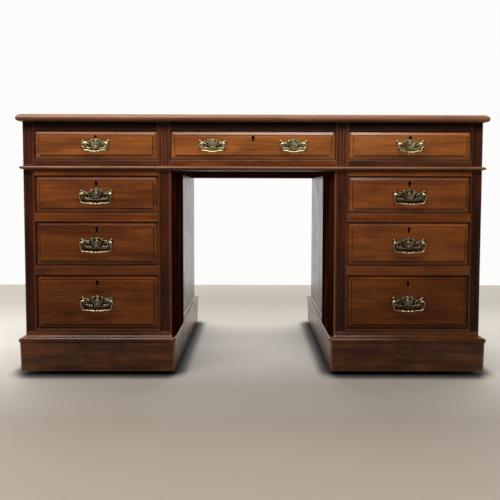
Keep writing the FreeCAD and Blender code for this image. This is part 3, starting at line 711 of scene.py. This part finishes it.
def pilaster():
    """The canted corner post of the right pedestal."""
    depth = (CASE_FRONT, CASE_FRONT + PILASTER_DEPTH)
    height = (PILASTER_FOOT, PEDESTAL_TOP)
    piece = block((PILASTER_FACE, KNEE_HALF), depth, height, case_woods, PILASTER_SHADE_WOOD)
    across = Vector((KNEE_HALF - PILASTER_FACE, PILASTER_QUIRK - PILASTER_CANT, 0))
    outward = across.cross(Vector((0, 0, 1)))
    corner = Vector((KNEE_HALF, CASE_FRONT, 0)) * MM
    bpy.ops.object.mode_set(mode="EDIT")
    bpy.ops.mesh.select_all(action="SELECT")
    bpy.ops.mesh.bisect(plane_co=corner, plane_no=outward, use_fill=True, clear_outer=True)
    bpy.ops.object.mode_set(mode="OBJECT")
    middle = Vector((PILASTER_FACE, CASE_FRONT + PILASTER_CANT, sum(height) / 2)) * MM
    groove = {"vertices": CUTTER_SIDES, "radius": PILASTER_QUIRK * MM, "depth": CUTTER_LENGTH * MM}
    bpy.ops.mesh.primitive_cylinder_add(**groove, location=middle)
    bpy.ops.object.transform_apply()
    cut(piece, bpy.context.object)
    soften(piece, PILASTER_EASE)
    return number(piece)


pedestal_case.append(pilaster())
print("pilaster face at", round(PILASTER_FACE, 1), "mm")

# %% [markdown]
# ## The cases
# Each case is a box of boards behind a front frame. The sides stand with their grain upright, the rails run
# across, and inside are the runners that carry each drawer and the guides that keep it straight.

# %% Case boards
inside_y = (FRAME_BACK, INNER_BACK)
frame_y = (CASE_FRONT, FRAME_BACK)
side_in, side_out = KNEE_HALF + SIDE_BOARD, CASE_HALF - SIDE_BOARD
pedestal_case += [
    board((KNEE_HALF, side_in), (FRAME_BACK, CASE_BACK), case_height, side_wood),
    board((side_out, CASE_HALF), (FRAME_BACK, CASE_BACK), case_height, side_wood),
    board((side_in, side_out), (INNER_BACK, CASE_BACK), case_height, side_wood),
    board((side_in, side_out), inside_y, (PLINTH_TOP, TIERS_Z[0][0]), inside_shade_wood),
    board((side_in, side_out), inside_y, (TIERS_Z[-1][1], PEDESTAL_TOP), inside_shade_wood),
]
rail_feet = [PLINTH_TOP] + [top for low, top in TIERS_Z]
rail_tops = [low for low, top in TIERS_Z] + [PEDESTAL_TOP]
for rail_z in zip(rail_feet, rail_tops):
    pedestal_case.append(board((OPEN_IN, OPEN_OUT), frame_y, rail_z, rail_wood))
for low, top in TIERS_Z:
    for guide_x in ((side_in, OPEN_IN), (OPEN_OUT, side_out)):
        pedestal_case.append(board(guide_x, inside_y, (low, low + GUIDE_HEIGHT), inside_shade_wood))
for low, top in TIERS_Z[1:]:
    for runner_x in ((side_in, side_in + RUNNER_WIDTH), (side_out - RUNNER_WIDTH, side_out)):
        pedestal_case.append(board(runner_x, inside_y, (low - RUNNER_HEIGHT, low), inside_shade_wood))
right_case = join(pedestal_case, "right_pedestal_joinery")
left_case = copied(right_case, "left_pedestal_joinery", MIRROR)
dress(right_case, "right_pedestal_case")
dress(left_case, "left_pedestal_case")
print("pedestal boards", len(pedestal_case))

# %% Frieze boards
dust_top = PEDESTAL_TOP + DUST_BOARD
bottom_rail, top_rail = (PEDESTAL_TOP, FRIEZE_Z[0]), (FRIEZE_Z[1], FRIEZE_TOP)
part_in = (KNEE_HALF + OPEN_IN - PARTITION) / 2
part_out = part_in + PARTITION
frieze_half += [
    board((OPEN_IN, OPEN_OUT), frame_y, bottom_rail, shaded_rail_wood),
    board((OPEN_IN, OPEN_OUT), frame_y, top_rail, top_rail_shade_wood),
    board((side_out, CASE_HALF), (FRAME_BACK, CASE_BACK), frieze_height, end_wood),
    board((part_in, part_out), inside_y, (dust_top, FRIEZE_TOP), inside_shade_wood),
]
for guide_x in ((KNEE_HALF, part_in), (part_out, OPEN_IN), (OPEN_OUT, side_out)):
    frieze_half.append(board(guide_x, inside_y, (FRIEZE_Z[0], FRIEZE_Z[0] + GUIDE_HEIGHT), inside_shade_wood))
for left in (part_in - RUNNER_WIDTH, part_out, side_out - RUNNER_WIDTH):
    frieze_half.append(board((left, left + RUNNER_WIDTH), inside_y, (dust_top, FRIEZE_Z[0]), inside_shade_wood))
right_half = join(frieze_half, "frieze_joinery")
frieze_parts = [
    right_half,
    copied(right_half, "frieze_left_half", MIRROR),
    board((-KNEE_HALF, KNEE_HALF), frame_y, bottom_rail, rail_wood),
    board((-KNEE_HALF, KNEE_HALF), frame_y, top_rail, top_rail_shade_wood),
    board((-side_out, side_out), inside_y, (PEDESTAL_TOP, dust_top), inside_shade_wood),
    board((-side_out, side_out), (INNER_BACK, CASE_BACK), frieze_height, rail_wood),
]
print("frieze boards", 2 * len(frieze_half) + len(frieze_parts[2:]))

# %% [markdown]
# ## The bead and the moulded top
# A half-round bead hides the joint between the top section and the pedestals, and the top itself ends in
# a long thumb curve over a rounded nose. Both are planed along the edge and mitred at the corners. Here a
# flat sheet is drawn up step by step, each step moving the edge in or out by the moulding's profile, so
# that the corners mitre themselves.

# %% Moulded edges
ARC_STEPS = 6


def draw_up(stages, middle_y=0):
    """Draws the active flat sheet up through stages of height and of half its size along X and Y."""
    height, wide, deep = stages[0]
    bpy.ops.object.mode_set(mode="EDIT")
    bpy.ops.mesh.select_all(action="SELECT")
    for top, half_x, half_y in stages[1:]:
        bpy.ops.mesh.extrude_region_move(TRANSFORM_OT_translate={"value": (0, 0, (top - height) * MM)})
        grow = (half_x / wide, half_y / deep, 1)
        bpy.ops.transform.resize(value=grow, center_override=(0, middle_y * MM, top * MM))
        height, wide, deep = top, half_x, half_y
    bpy.ops.mesh.select_all(action="SELECT")
    bpy.ops.mesh.normals_make_consistent(inside=False)
    bpy.ops.object.mode_set(mode="OBJECT")


def moulded_slab(half_x, y, profile, wood_list):
    """A slab whose edge follows a profile of pairs, the step in and the height, from the bottom up."""
    middle, half_y = (y[0] + y[1]) / 2, (y[1] - y[0]) / 2
    stages = [(height, half_x - inset, half_y - inset) for inset, height in profile]
    height, wide, deep = stages[0]
    bpy.ops.mesh.primitive_plane_add(size=2, location=Vector((0, middle, height)) * MM)
    piece = bpy.context.object
    piece.scale = Vector((wide, deep, 1)) * MM
    bpy.ops.object.transform_apply()
    draw_up(stages, middle)
    for material in wood_list:
        piece.data.materials.append(material)
    return piece


def arc(start, end, bulge_first):
    """Quarter of an ellipse between two profile pairs; it leaves upright if bulge_first, else flat."""
    points = []
    for index in range(1, ARC_STEPS + 1):
        angle = math.pi / 2 * index / ARC_STEPS
        slow, fast = 1 - math.cos(angle), math.sin(angle)
        across, up = (slow, fast) if bulge_first else (fast, slow)
        points.append((start[0] + (end[0] - start[0]) * across, start[1] + (end[1] - start[1]) * up))
    return points


bead_low = PEDESTAL_TOP + BEAD_LIFT
bead_side, bead_nose = (BEAD_REACH, bead_low), (0, bead_low + BEAD_HEIGHT / 2)
bead_back = (BEAD_REACH, bead_low + BEAD_HEIGHT)
bead_profile = [bead_side] + arc(bead_side, bead_nose, False) + arc(bead_nose, bead_back, True)
bead_y = (CASE_FRONT - BEAD_REACH, CASE_BACK + BEAD_REACH)
bead = moulded_slab(CASE_HALF + BEAD_REACH, bead_y, bead_profile, [top_wood])
bead_z = (bead_low - BEAD_HEIGHT, bead_low + 2 * BEAD_HEIGHT)
cut(bead, block((-CASE_HALF, CASE_HALF), (CASE_FRONT, CASE_BACK + 2 * BEAD_REACH), bead_z, [top_wood]))
cut(bead, block((-2 * CASE_HALF, 2 * CASE_HALF), (CASE_BACK, CASE_BACK + 2 * BEAD_REACH), bead_z, [top_wood]))
frieze_parts.append(number(bead))
frieze = join(frieze_parts, "frieze_joinery")
dress(frieze, "frieze_case")
print("frieze faces", len(frieze.data.polygons))

# %% [markdown]
# ## Desk top and leather
# The top is a walnut board with a shallow bed sunk in it for the leather. Gold leaf is pressed into the
# leather with a heated wheel, in a wide line between two fine ones.

# %% Top
THUMB_WIDTH, NOSE_HEIGHT, UNDER_ROUND = 18, 8, 8
FLAT = 0.9999


def edit_faces(piece, test):
    """Opens a piece in edit mode with only the faces that pass the test selected."""
    select([piece])
    bpy.ops.object.mode_set(mode="EDIT")
    bpy.ops.mesh.select_mode(type="FACE")
    bpy.ops.mesh.select_all(action="DESELECT")
    bpy.ops.object.mode_set(mode="OBJECT")
    for face in piece.data.polygons:
        face.select = test(face)
    bpy.ops.object.mode_set(mode="EDIT")


def faces_up(face):
    """Whether a face is level and looks up."""
    return face.normal.z > FLAT


top_z, top_half, top_y = span("desk_top", "Z"), span("desk_top", "X")[1], span("desk_top", "Y")
under, nose = (UNDER_ROUND, top_z[0]), (0, top_z[0] + NOSE_HEIGHT)
thumb = (THUMB_WIDTH, top_z[1])
edge_profile = [under] + arc(under, nose, False) + arc(nose, thumb, True)
top = moulded_slab(top_half, top_y, edge_profile, [top_wood, band_wood])
leather_x, leather_y, leather_z = [span("writing_leather", axis) for axis in "XYZ"]
edit_faces(top, faces_up)
top.active_material_index = 1
bpy.ops.object.material_slot_assign()
bpy.ops.mesh.inset(thickness=(top_half - THUMB_WIDTH - leather_x[1]) * MM)
bpy.ops.mesh.extrude_region_move(TRANSFORM_OT_translate={"value": (0, 0, (leather_z[0] - leather_z[1]) * MM)})
bpy.ops.object.mode_set(mode="OBJECT")
top.name = "walnut_top"
dress(number(top), "desk_top")
print("top faces", len(top.data.polygons))

# %% Leather and its gilt lines
LEATHER_EASE = 0.3
# Margin before each gilt line and the line's width
GILT_LINES = ((14, 0.8), (3, 3.0), (3, 0.8))

skin = block(leather_x, leather_y, leather_z, [leather, gilt])
edit_faces(skin, faces_up)
for margin, line in GILT_LINES:
    for index, width in ((1, margin), (0, line)):
        bpy.ops.mesh.inset(thickness=width * MM)
        skin.active_material_index = index
        bpy.ops.object.material_slot_assign()
bpy.ops.object.mode_set(mode="OBJECT")
soften(skin, LEATHER_EASE)
skin.name = "leather_inset"
dress(skin, "writing_leather")
print("leather faces", len(skin.data.polygons))

# %% [markdown]
# ## Drawer fronts
# Each front is raised and fielded: a plane slopes its border all round and leaves a flat field that stands
# a little proud of a narrow groove. The slope along the top catches the light and the groove draws a dark
# line. A face of a block, inset three times, gives border, groove and field. Then the keyhole is cut.

# %% Drawer fronts
BEVEL_WIDTH, BEVEL_RISE, FIELD_STEP, STEP_WIDTH = 11.6, 4, 2, 0.8
QUIRK_WIDTH, QUIRK_DEPTH = 2.4, 1.2
TAIL_SHOW, SIT_DOWN = 0.05, 0.6
FRONT_EASE, FRONT_EASE_ANGLE = 0.35, 25
KEYHOLE_DROP, KEYHOLE_RADIUS, KEYHOLE_LENGTH, KEYHOLE_FOOT, LOCK_DEPTH = 22, 4.0, 13.5, 5, 9
KEYHOLE_SIDES = 20


def faces_front(face):
    """Whether a face is upright and looks to the front."""
    return face.normal.y < -FLAT


def keyhole_place(drawer):
    """Middle of a drawer's keyhole in X and the middle of its round eye in Z."""
    x, z = span(drawer + "_drawer_front", "X"), span(drawer + "_drawer_front", "Z")
    return (x[0] + x[1]) / 2, z[1] - KEYHOLE_DROP + KEYHOLE_LENGTH / 2 - KEYHOLE_RADIUS


def drawer_front(drawer, finish):
    """A raised and fielded front with its keyhole."""
    node = drawer + "_drawer_front"
    x, y, z = [span(node, axis) for axis in "XYZ"]
    lip = y[0] + BEVEL_RISE + FIELD_STEP
    piece = block((x[0] + TAIL_SHOW, x[1] - TAIL_SHOW), (lip, y[1]), (z[0] - SIT_DOWN, z[1]), [finish])
    edit_faces(piece, faces_front)
    bpy.ops.mesh.inset(thickness=BEVEL_WIDTH * MM, depth=BEVEL_RISE * MM)
    bpy.ops.mesh.inset(thickness=QUIRK_WIDTH * MM, depth=-QUIRK_DEPTH * MM)
    bpy.ops.mesh.inset(thickness=STEP_WIDTH * MM, depth=(FIELD_STEP + QUIRK_DEPTH) * MM)
    bpy.ops.object.mode_set(mode="OBJECT")
    soften(piece, FRONT_EASE, FRONT_EASE_ANGLE)
    key_x, eye_z = keyhole_place(drawer)
    bottom = y[1] - LOCK_DEPTH
    middle = Vector((key_x, bottom - LOCK_DEPTH, eye_z)) * MM
    eye = {"vertices": KEYHOLE_SIDES, "radius": KEYHOLE_RADIUS * MM, "depth": 2 * LOCK_DEPTH * MM}
    bpy.ops.mesh.primitive_cylinder_add(**eye, location=middle, rotation=(math.pi / 2, 0, 0))
    bpy.ops.object.transform_apply()
    cut(piece, bpy.context.object)
    slot_z = (eye_z + KEYHOLE_RADIUS - KEYHOLE_LENGTH, eye_z)
    slot_x = (key_x - KEYHOLE_FOOT / 2, key_x + KEYHOLE_FOOT / 2)
    cut(piece, block(slot_x, (bottom - 2 * LOCK_DEPTH, bottom), slot_z, [finish]))
    piece.name = drawer + "_fielded_front"
    dress(number(piece), node)


drawers = [name[:-len("_drawer_front")] for name in nodes if name.endswith("_drawer_front")]
for drawer in drawers:
    tier = drawer.split("_")[1]
    drawer_front(drawer, frieze_wood if drawer.startswith("frieze") else pedestal_woods[tier])
print("drawer fronts", len(drawers))

# %% [markdown]
# ## Handle plates
# Each plate was cast in brass with a lobed outline, pierced so that the wood shows through, and chased with
# straps and beads. Half the outline is drawn as a smooth curve and mirrored, the piercings are closed curves
# inside it, and filling and thickening the flat curve makes the plate. The straps are round wires sunk in
# its face.

# %% Curves for the brass
FORWARD = (math.pi / 2, 0, 0)
CURVE_STEPS, WELD_GAP = 5, 0.01


def curve_object(name, **settings):
    """An empty curve with its settings, linked to the scene."""
    curve = bpy.data.curves.new(name, "CURVE")
    for setting, value in settings.items():
        setattr(curve, setting, value)
    piece = bpy.data.objects.new(name, curve)
    bpy.context.scene.collection.objects.link(piece)
    return piece, curve


def to_mesh(piece):
    """Makes a curve a mesh and stands it up to face the front."""
    select([piece])
    bpy.ops.object.convert(target="MESH")
    piece = bpy.context.object
    piece.rotation_euler = FORWARD
    bpy.ops.object.transform_apply()
    apply_modifier(piece, "WELD", merge_threshold=WELD_GAP * MM)
    piece.data.materials.append(brass)
    return piece


def add_loop(curve, points, closed=True):
    """A smooth line through points of X, Y and, if given, a radius; a point named sharp keeps its corner."""
    spline = curve.splines.new("BEZIER")
    spline.bezier_points.add(len(points) - 1)
    spline.use_cyclic_u = closed
    for knot, point in zip(spline.bezier_points, points):
        knot.co = Vector((point[0], point[1], 0)) * MM
        sharp = "sharp" in point
        knot.handle_left_type = knot.handle_right_type = "VECTOR" if sharp else "AUTO"
        if len(point) > 2 and not sharp:
            knot.radius = point[2]


def flipped(points):
    """Points mirrored to the other side of the middle line."""
    return [(-point[0], *point[1:]) for point in points]


print("curves divided in", CURVE_STEPS, "between points")

# %% Sheets and wires
PLATE_THICKNESS, PLATE_EDGE = 1.8, 0.35


def plate_blank(outline, piercings):
    """The pierced sheet of a handle plate at the origin; the outline is its right half."""
    piece, curve = curve_object(
        "plate", dimensions="2D", fill_mode="BOTH", resolution_u=CURVE_STEPS, offset=-PLATE_EDGE * MM,
        extrude=(PLATE_THICKNESS / 2 - PLATE_EDGE) * MM, bevel_depth=PLATE_EDGE * MM, bevel_resolution=1,
    )
    add_loop(curve, outline + flipped(reversed(outline[1:-1])))
    for hole in piercings:
        add_loop(curve, hole)
        add_loop(curve, flipped(reversed(hole)))
    piece = to_mesh(piece)
    piece.data.transform(Matrix.Translation((0, -PLATE_THICKNESS / 2 * MM, 0)))
    return piece


def wires(lines, radius, rise):
    """Round wires through lines of points, each drawn on both sides of the middle."""
    piece, curve = curve_object(
        "wires", dimensions="3D", resolution_u=CURVE_STEPS, bevel_depth=radius * MM, bevel_resolution=1,
        use_fill_caps=True,
    )
    for line in lines:
        add_loop(curve, line, False)
        if any(point[0] for point in line):
            add_loop(curve, flipped(line), False)
    piece = to_mesh(piece)
    piece.data.transform(Matrix.Translation((0, -rise * MM, 0)))
    return piece


print("plates", PLATE_THICKNESS, "mm thick")

# %% Turned brass
TURNED_SIDES, SMOOTH_ANGLE = 16, 50
BOSS_ANGLES = (0, 30, 60, 80)


def turned(stations, turn, place):
    """A turned piece: pairs of distance along its axis and radius, then its turn and place."""
    distance, radius = stations[0]
    bpy.ops.mesh.primitive_circle_add(vertices=TURNED_SIDES, radius=radius * MM, fill_type="NGON",
                                      location=(0, 0, distance * MM))
    piece = bpy.context.object
    bpy.ops.object.transform_apply()
    draw_up([(end, wide, wide) for end, wide in stations])
    piece.rotation_euler = turn
    piece.location = Vector(place) * MM
    bpy.ops.object.transform_apply()
    bpy.ops.object.shade_smooth_by_angle(angle=math.radians(SMOOTH_ANGLE))
    piece.data.materials.append(brass)
    return piece


def bead_boss(x, z, radius, rise):
    """A round bead on the plate, and its mirror image."""
    steps = [math.radians(angle) for angle in BOSS_ANGLES]
    stations = [(rise + radius * math.sin(step), radius * math.cos(step)) for step in steps]
    sides = (-x, x) if x else (0,)
    return [turned(stations, FORWARD, (side, 0, z)) for side in sides]


print("turned pieces have", TURNED_SIDES, "sides")

# %% [markdown]
# ## Two patterns of handle
# The pedestals carry a wider handle with a lobed crest, the top section a smaller one with a pointed leaf
# and drops on its bail. Both hang in turned posts that pass through the drawer front to square nuts.

# %% Plate patterns
# Points across and up from the middle between the pivots; those of the straps have a thickness too
PEDESTAL_OUTLINE = [
    (0, 16), (4.5, 15.2), (7.2, 12.6), (8.6, 10.6, "sharp"), (11.5, 13), (15.5, 13.2), (18.6, 10.8),
    (19.2, 8.2, "sharp"), (24, 6.9), (31, 6.6), (37, 7.6), (40.5, 9.8), (42.5, 12.4), (45.5, 13.2),
    (47.8, 11), (47.6, 7.2), (46.2, 4.6, "sharp"), (47.6, 1.5), (47.6, -1.5), (46, -4.6),
    (43.6, -6.6, "sharp"), (44.2, -9.6), (44, -13), (42.4, -16.4), (40.8, -18.8, "sharp"), (36, -20.8),
    (28, -22), (18, -22.8), (9, -23.2), (0, -23.4),
]
FRIEZE_OUTLINE = [
    (0, 15.5), (4.2, 14.6), (6.6, 12), (7.6, 9.8, "sharp"), (10.4, 12), (13.6, 12.2), (16.4, 9.6),
    (16.8, 7.2, "sharp"), (21, 6.2), (27, 6.2), (31.5, 7.4), (34.6, 9.8), (37, 11.6), (39.6, 11), (41, 8.4),
    (40, 5.2), (38, 2.6, "sharp"), (38.8, -0.6), (37.2, -4), (34.4, -6.6), (31.6, -9.6), (28.4, -12.6),
    (26, -15.4, "sharp"), (21, -17), (14, -18.6), (7, -19.8), (0, -20.2),
]
PIERCINGS = [
    [(23, 3.6), (27.5, 4.6), (32.5, 3.4), (31, 0.4), (26, 0.2)],
    [(22, -3), (25, -1.2), (29, -2.6), (27, -6.4), (23.5, -6.6)],
    [(33.5, -1.8), (35.4, -3.6), (34.6, -7.6), (32, -9), (31.2, -5)],
    [(12.6, 10.2), (15.4, 10.6), (16, 8.4), (13.6, 7.8)],
    [(9.2, 2.6), (11, 3.4), (12.2, 0.6), (10.4, -0.4)],
    [(6.4, -3), (8.2, -2.4), (9.2, -5.2), (7.4, -6)],
    [(14, -8.6), (18, -7.4), (22, -9.6), (18, -12)],
    [(1.6, -3.2), (3.6, -1.6), (5, -4), (3, -6.2)],
    [(1.2, -9.6), (3.2, -8.2), (5, -10.2), (3, -12.4)],
    [(12.6, -19.4), (18.5, -17.9), (24.4, -18.8), (18.5, -20.9)],
]
STRAPS = [
    [(0, 14.6, 1.1), (4, 13.8, 1.1), (6.4, 11.4, 1.1), (7.4, 8.8, 0.8)],
    [(8.6, 9.4, 0.8), (11.4, 11.8, 1.1), (15.2, 11.9, 1.1), (17.4, 9.6, 1.1), (16.4, 7.2, 0.9),
     (13.8, 6.4, 0.6)],
    [(18, 8, 0.8), (14.8, 2, 1.2), (11, -5.4, 1.2), (7.2, -12.8, 1.1), (5.6, -15, 0.8)],
    [(11.6, 7.2, 0.8), (8.8, 1.6, 1.1), (5.2, -5, 1.1), (1.4, -11, 0.8)],
    [(0, 7.4, 0.9), (4.8, 1.6, 1.1), (0, -4.4, 0.9)],
    [(0, -6, 0.8), (4.6, -10.2, 1), (0, -14.2, 0.8)],
    [(20, 5.6, 0.8), (26, 5.3, 1), (33, 5.2, 1), (38.5, 6.6, 1.1), (41.6, 9.6, 1.2), (44.2, 11.4, 1.2),
     (46.2, 9.8, 1), (45.4, 7, 0.7)],
    [(20, -6.4, 0.7), (23.2, -0.8, 1.1), (29, 1.6, 1.2), (33.4, -0.8, 1.1), (33, -5, 1), (29.4, -6.4, 0.8)],
    [(14, -13.6, 0.8), (21, -12, 1.1), (28, -12.6, 1.2), (33.6, -10.4, 1.1), (36, -13, 1),
     (38.2, -15.8, 0.8)],
    [(37, -6.6, 0.8), (41, -9, 1), (41.8, -13, 1), (39.6, -17, 0.8)],
    [(0, -17, 0.6), (12, -16.6, 0.6), (25, -16, 0.6), (34, -15.6, 0.5)],
]
PEDESTAL_LEAF = [(0, 6.4, "sharp"), (3.4, 2), (2.2, -1.6), (0, -2.8, "sharp")]
FRIEZE_LEAF = [(0, 11.4, "sharp"), (4.6, 5), (6.2, 0.8), (2.8, -0.8), (0, 0.4, "sharp")]
print("patterns", len(PIERCINGS), "piercings and", len(STRAPS), "straps on each side")

# %% Plates and posts
PIVOT_RISE, PEDESTAL_PIVOT, FRIEZE_PIVOT = 10.5, 41.5, 31.5
PEDESTAL_SHARES, FRIEZE_SHARES = (1, 1), (0.86, 0.92)
STRAP_RADIUS, LEAF_RISE = 0.95, 1.1
NUT_WIDTH, NUT_HEIGHT, NUT_EASE, SHANK, SHANK_END = 11, 4, 0.5, 2.2, 1.6
POST_STATIONS = (
    (1.5, 4.8), (2.6, 4.6), (3.6, 2.6), (6.2, 2.3), (7.4, 2.9), (9.4, 3.5), (11.4, 3.4), (13.2, 2.6),
    (14.4, 1.2),
)
# Beads across and up from the middle, and their radius
BOSSES = ((0, 9.8, 1.9), (14.6, 9.4, 1.0), (0, -10.2, 1.4), (43.8, 8.6, 1.4), (26.4, -17.3, 0.9))


def sized(lines, shares):
    """Lines of a pattern drawn smaller or larger across and up."""
    return [[(point[0] * shares[0], point[1] * shares[1], *point[2:]) for point in line] for line in lines]


def fitting(name, outline, shares, leaf, pivot):
    """Plate, chasing, posts and nuts of one handle, about the middle between its pivots."""
    raised = plate_blank(leaf, ())
    raised.data.transform(Matrix.Translation((0, -LEAF_RISE * MM, 0)))
    parts = [
        plate_blank(outline, sized(PIERCINGS, shares)),
        wires(sized(STRAPS, shares), STRAP_RADIUS, PLATE_THICKNESS),
        raised,
    ]
    for x, z, radius in BOSSES:
        parts += bead_boss(x * shares[0], z * shares[1], radius, PLATE_THICKNESS)
    nut_y = span("left_lower_drawer_front", "Y")[1] - FIELD_Y / MM
    nut_z = (-NUT_WIDTH / 2, NUT_WIDTH / 2)
    for x in (-pivot, pivot):
        nut = block((x + nut_z[0], x + nut_z[1]), (nut_y, nut_y + NUT_HEIGHT), nut_z, [brass])
        soften(nut, NUT_EASE)
        shank = turned(((-nut_y, SHANK), (SHANK_END, SHANK)), FORWARD, (x, 0, 0))
        parts += [turned(POST_STATIONS, FORWARD, (x, 0, 0)), shank, nut]
    return join(parts, name)


pedestal_fitting = fitting(
    "pedestal_fitting", PEDESTAL_OUTLINE, PEDESTAL_SHARES, PEDESTAL_LEAF, PEDESTAL_PIVOT)
frieze_fitting = fitting("frieze_fitting", FRIEZE_OUTLINE, FRIEZE_SHARES, FRIEZE_LEAF, FRIEZE_PIVOT)
frieze_fitting.data.materials[0] = frieze_brass
print("handle faces", len(pedestal_fitting.data.polygons), len(frieze_fitting.data.polygons))

# %% [markdown]
# ## Bails
# A bail is a rod, hammered to a taper and bent, with its two ends turned in as pins. Its bar swells to the
# middle, where rings and a bead are turned on the larger pattern and three drops hang on the smaller.

# %% Bails
SIDEWAYS, DOWNWARD = (0, math.pi / 2, 0), (math.pi, 0, 0)
BAIL_RADIUS, PIN_INSET = 1.7, 2.6
# Right half of each rod: points across and up from the middle between the pivots, and the thickness there
PEDESTAL_ROD = [
    (PEDESTAL_PIVOT - PIN_INSET, 0, 1.0), (45.6, 0, 1.0), (47.2, -2.4, 0.95), (45.0, -14, 0.85),
    (42.0, -22.6, 1.0), (39.0, -25.8, 1.1), (34, -26.0, 0.75), (22, -27.2, 0.95), (11, -28.4, 1.6),
    (7, -28.8, 1.5),
]
FRIEZE_ROD = [
    (FRIEZE_PIVOT - PIN_INSET, 0, 1.0), (36.2, 0, 1.0), (37.6, -2.4, 0.9), (34.6, -9, 0.8),
    (30.2, -14.6, 0.85), (30.8, -18.4, 1.0), (27.0, -19.6, 1.0), (18, -20.4, 1.1), (10.0, -22.8, 1.0),
    (0, -23.6, 0.7),
]
# Distance along the axis and radius
RINGS = ((-7.6, 1.0), (-3.2, 1.0), (-2.8, 1.8), (-1.8, 2.8), (0, 3.2))
DROP = ((-1.4, 1.4), (0, 2.0), (2.0, 2.2), (5.0, 1.9), (7.2, 1.2), (8.0, 0.4))
RINGS_Z, DROPS_Z, DROPS_X = -29, -22.8, (-7.4, 0, 7.4)


def pedestal_bail():
    """The wider bail: sloping arms, knees, two swelling bars, rings and a bead."""
    stations = RINGS + tuple(flipped(reversed(RINGS[:-1])))
    rod = wires([PEDESTAL_ROD], BAIL_RADIUS, PIVOT_RISE)
    return join([rod, turned(stations, SIDEWAYS, (0, -PIVOT_RISE, RINGS_Z))], "pedestal_bail")


def frieze_bail():
    """The smaller bail: a bowed V with three drops at its middle."""
    rod = wires([FRIEZE_ROD], BAIL_RADIUS, PIVOT_RISE)
    drops = [turned(DROP, DOWNWARD, (x, -PIVOT_RISE, DROPS_Z)) for x in DROPS_X]
    return join([rod] + drops, "frieze_bail")


bails = {"pedestal": pedestal_bail(), "frieze": frieze_bail()}
bails["frieze"].data.materials[0] = frieze_brass
print("bail faces", {name: len(piece.data.polygons) for name, piece in bails.items()})

# %% [markdown]
# ## Setting the brass on the drawers
# Each handle goes where the frame hinges its bail. Plate, posts and nuts stay with the drawer, together with
# the lock behind the keyhole and the thin rim let in round it, and the bail swings by itself.

# %% Brass in place
LOCK_WIDTH, LOCK_HEIGHT, RIM_RADIUS = 54, 36, 1.3
RIM_ANGLES = range(-50, 231, 20)


def lock_and_rim(drawer):
    """Lock case let into the back of a front, and the keyhole's rim."""
    back, top = [span(drawer + "_drawer_front", axis)[1] for axis in "YZ"]
    key_x, eye_z = keyhole_place(drawer)
    lock_x = (key_x - LOCK_WIDTH / 2, key_x + LOCK_WIDTH / 2)
    lock_y, lock_z = (back - LOCK_DEPTH, back + TAIL_SHOW), (top - LOCK_HEIGHT, top + TAIL_SHOW)
    # Painted shade: the near-black lock case behind the keyhole
    case = block(lock_x, lock_y, lock_z, [keyhole_shade_brass])
    eye = [math.radians(angle) for angle in RIM_ANGLES]
    rim = [(KEYHOLE_RADIUS * math.cos(step), KEYHOLE_RADIUS * math.sin(step), "sharp") for step in eye]
    foot = KEYHOLE_RADIUS - KEYHOLE_LENGTH
    rim += [(-KEYHOLE_FOOT / 2, foot, "sharp"), (KEYHOLE_FOOT / 2, foot, "sharp")]
    piece, curve = curve_object(
        "rim", dimensions="3D", resolution_u=1, bevel_depth=RIM_RADIUS * MM, bevel_resolution=1)
    add_loop(curve, rim)
    piece = to_mesh(piece)
    piece.data.materials[0] = keyhole_shade_brass
    piece.data.transform(Matrix.Translation(Vector((key_x, FIELD_Y / MM + RIM_RADIUS / 2, eye_z)) * MM))
    return [case, piece]


fittings = {drawer: lock_and_rim(drawer) for drawer in drawers}
sources = {"pedestal": pedestal_fitting, "frieze": frieze_fitting}
for joint in behaviour["joints"]:
    if not joint["name"].endswith("_bail_swing"):
        continue
    label = joint["name"][:-len("_bail_swing")]
    pattern = "frieze" if label.startswith("frieze") else "pedestal"
    place = Vector(joint["pos_m"])
    place.y = FIELD_Y
    bail = copied(bails[pattern], label + "_brass_bail", Matrix.Translation(place))
    dress(bail, label + "_bail")
    drawer = joint["parent"][:-len("_drawer")]
    fittings[drawer].append(copied(sources[pattern], label + "_plate", Matrix.Translation(place)))
for drawer, parts in fittings.items():
    dress(join(parts, drawer + "_handle_brass"), drawer + "_brassware")
for source in list(sources.values()) + list(bails.values()):
    bpy.data.objects.remove(source)
print("sets of brassware", len(fittings))
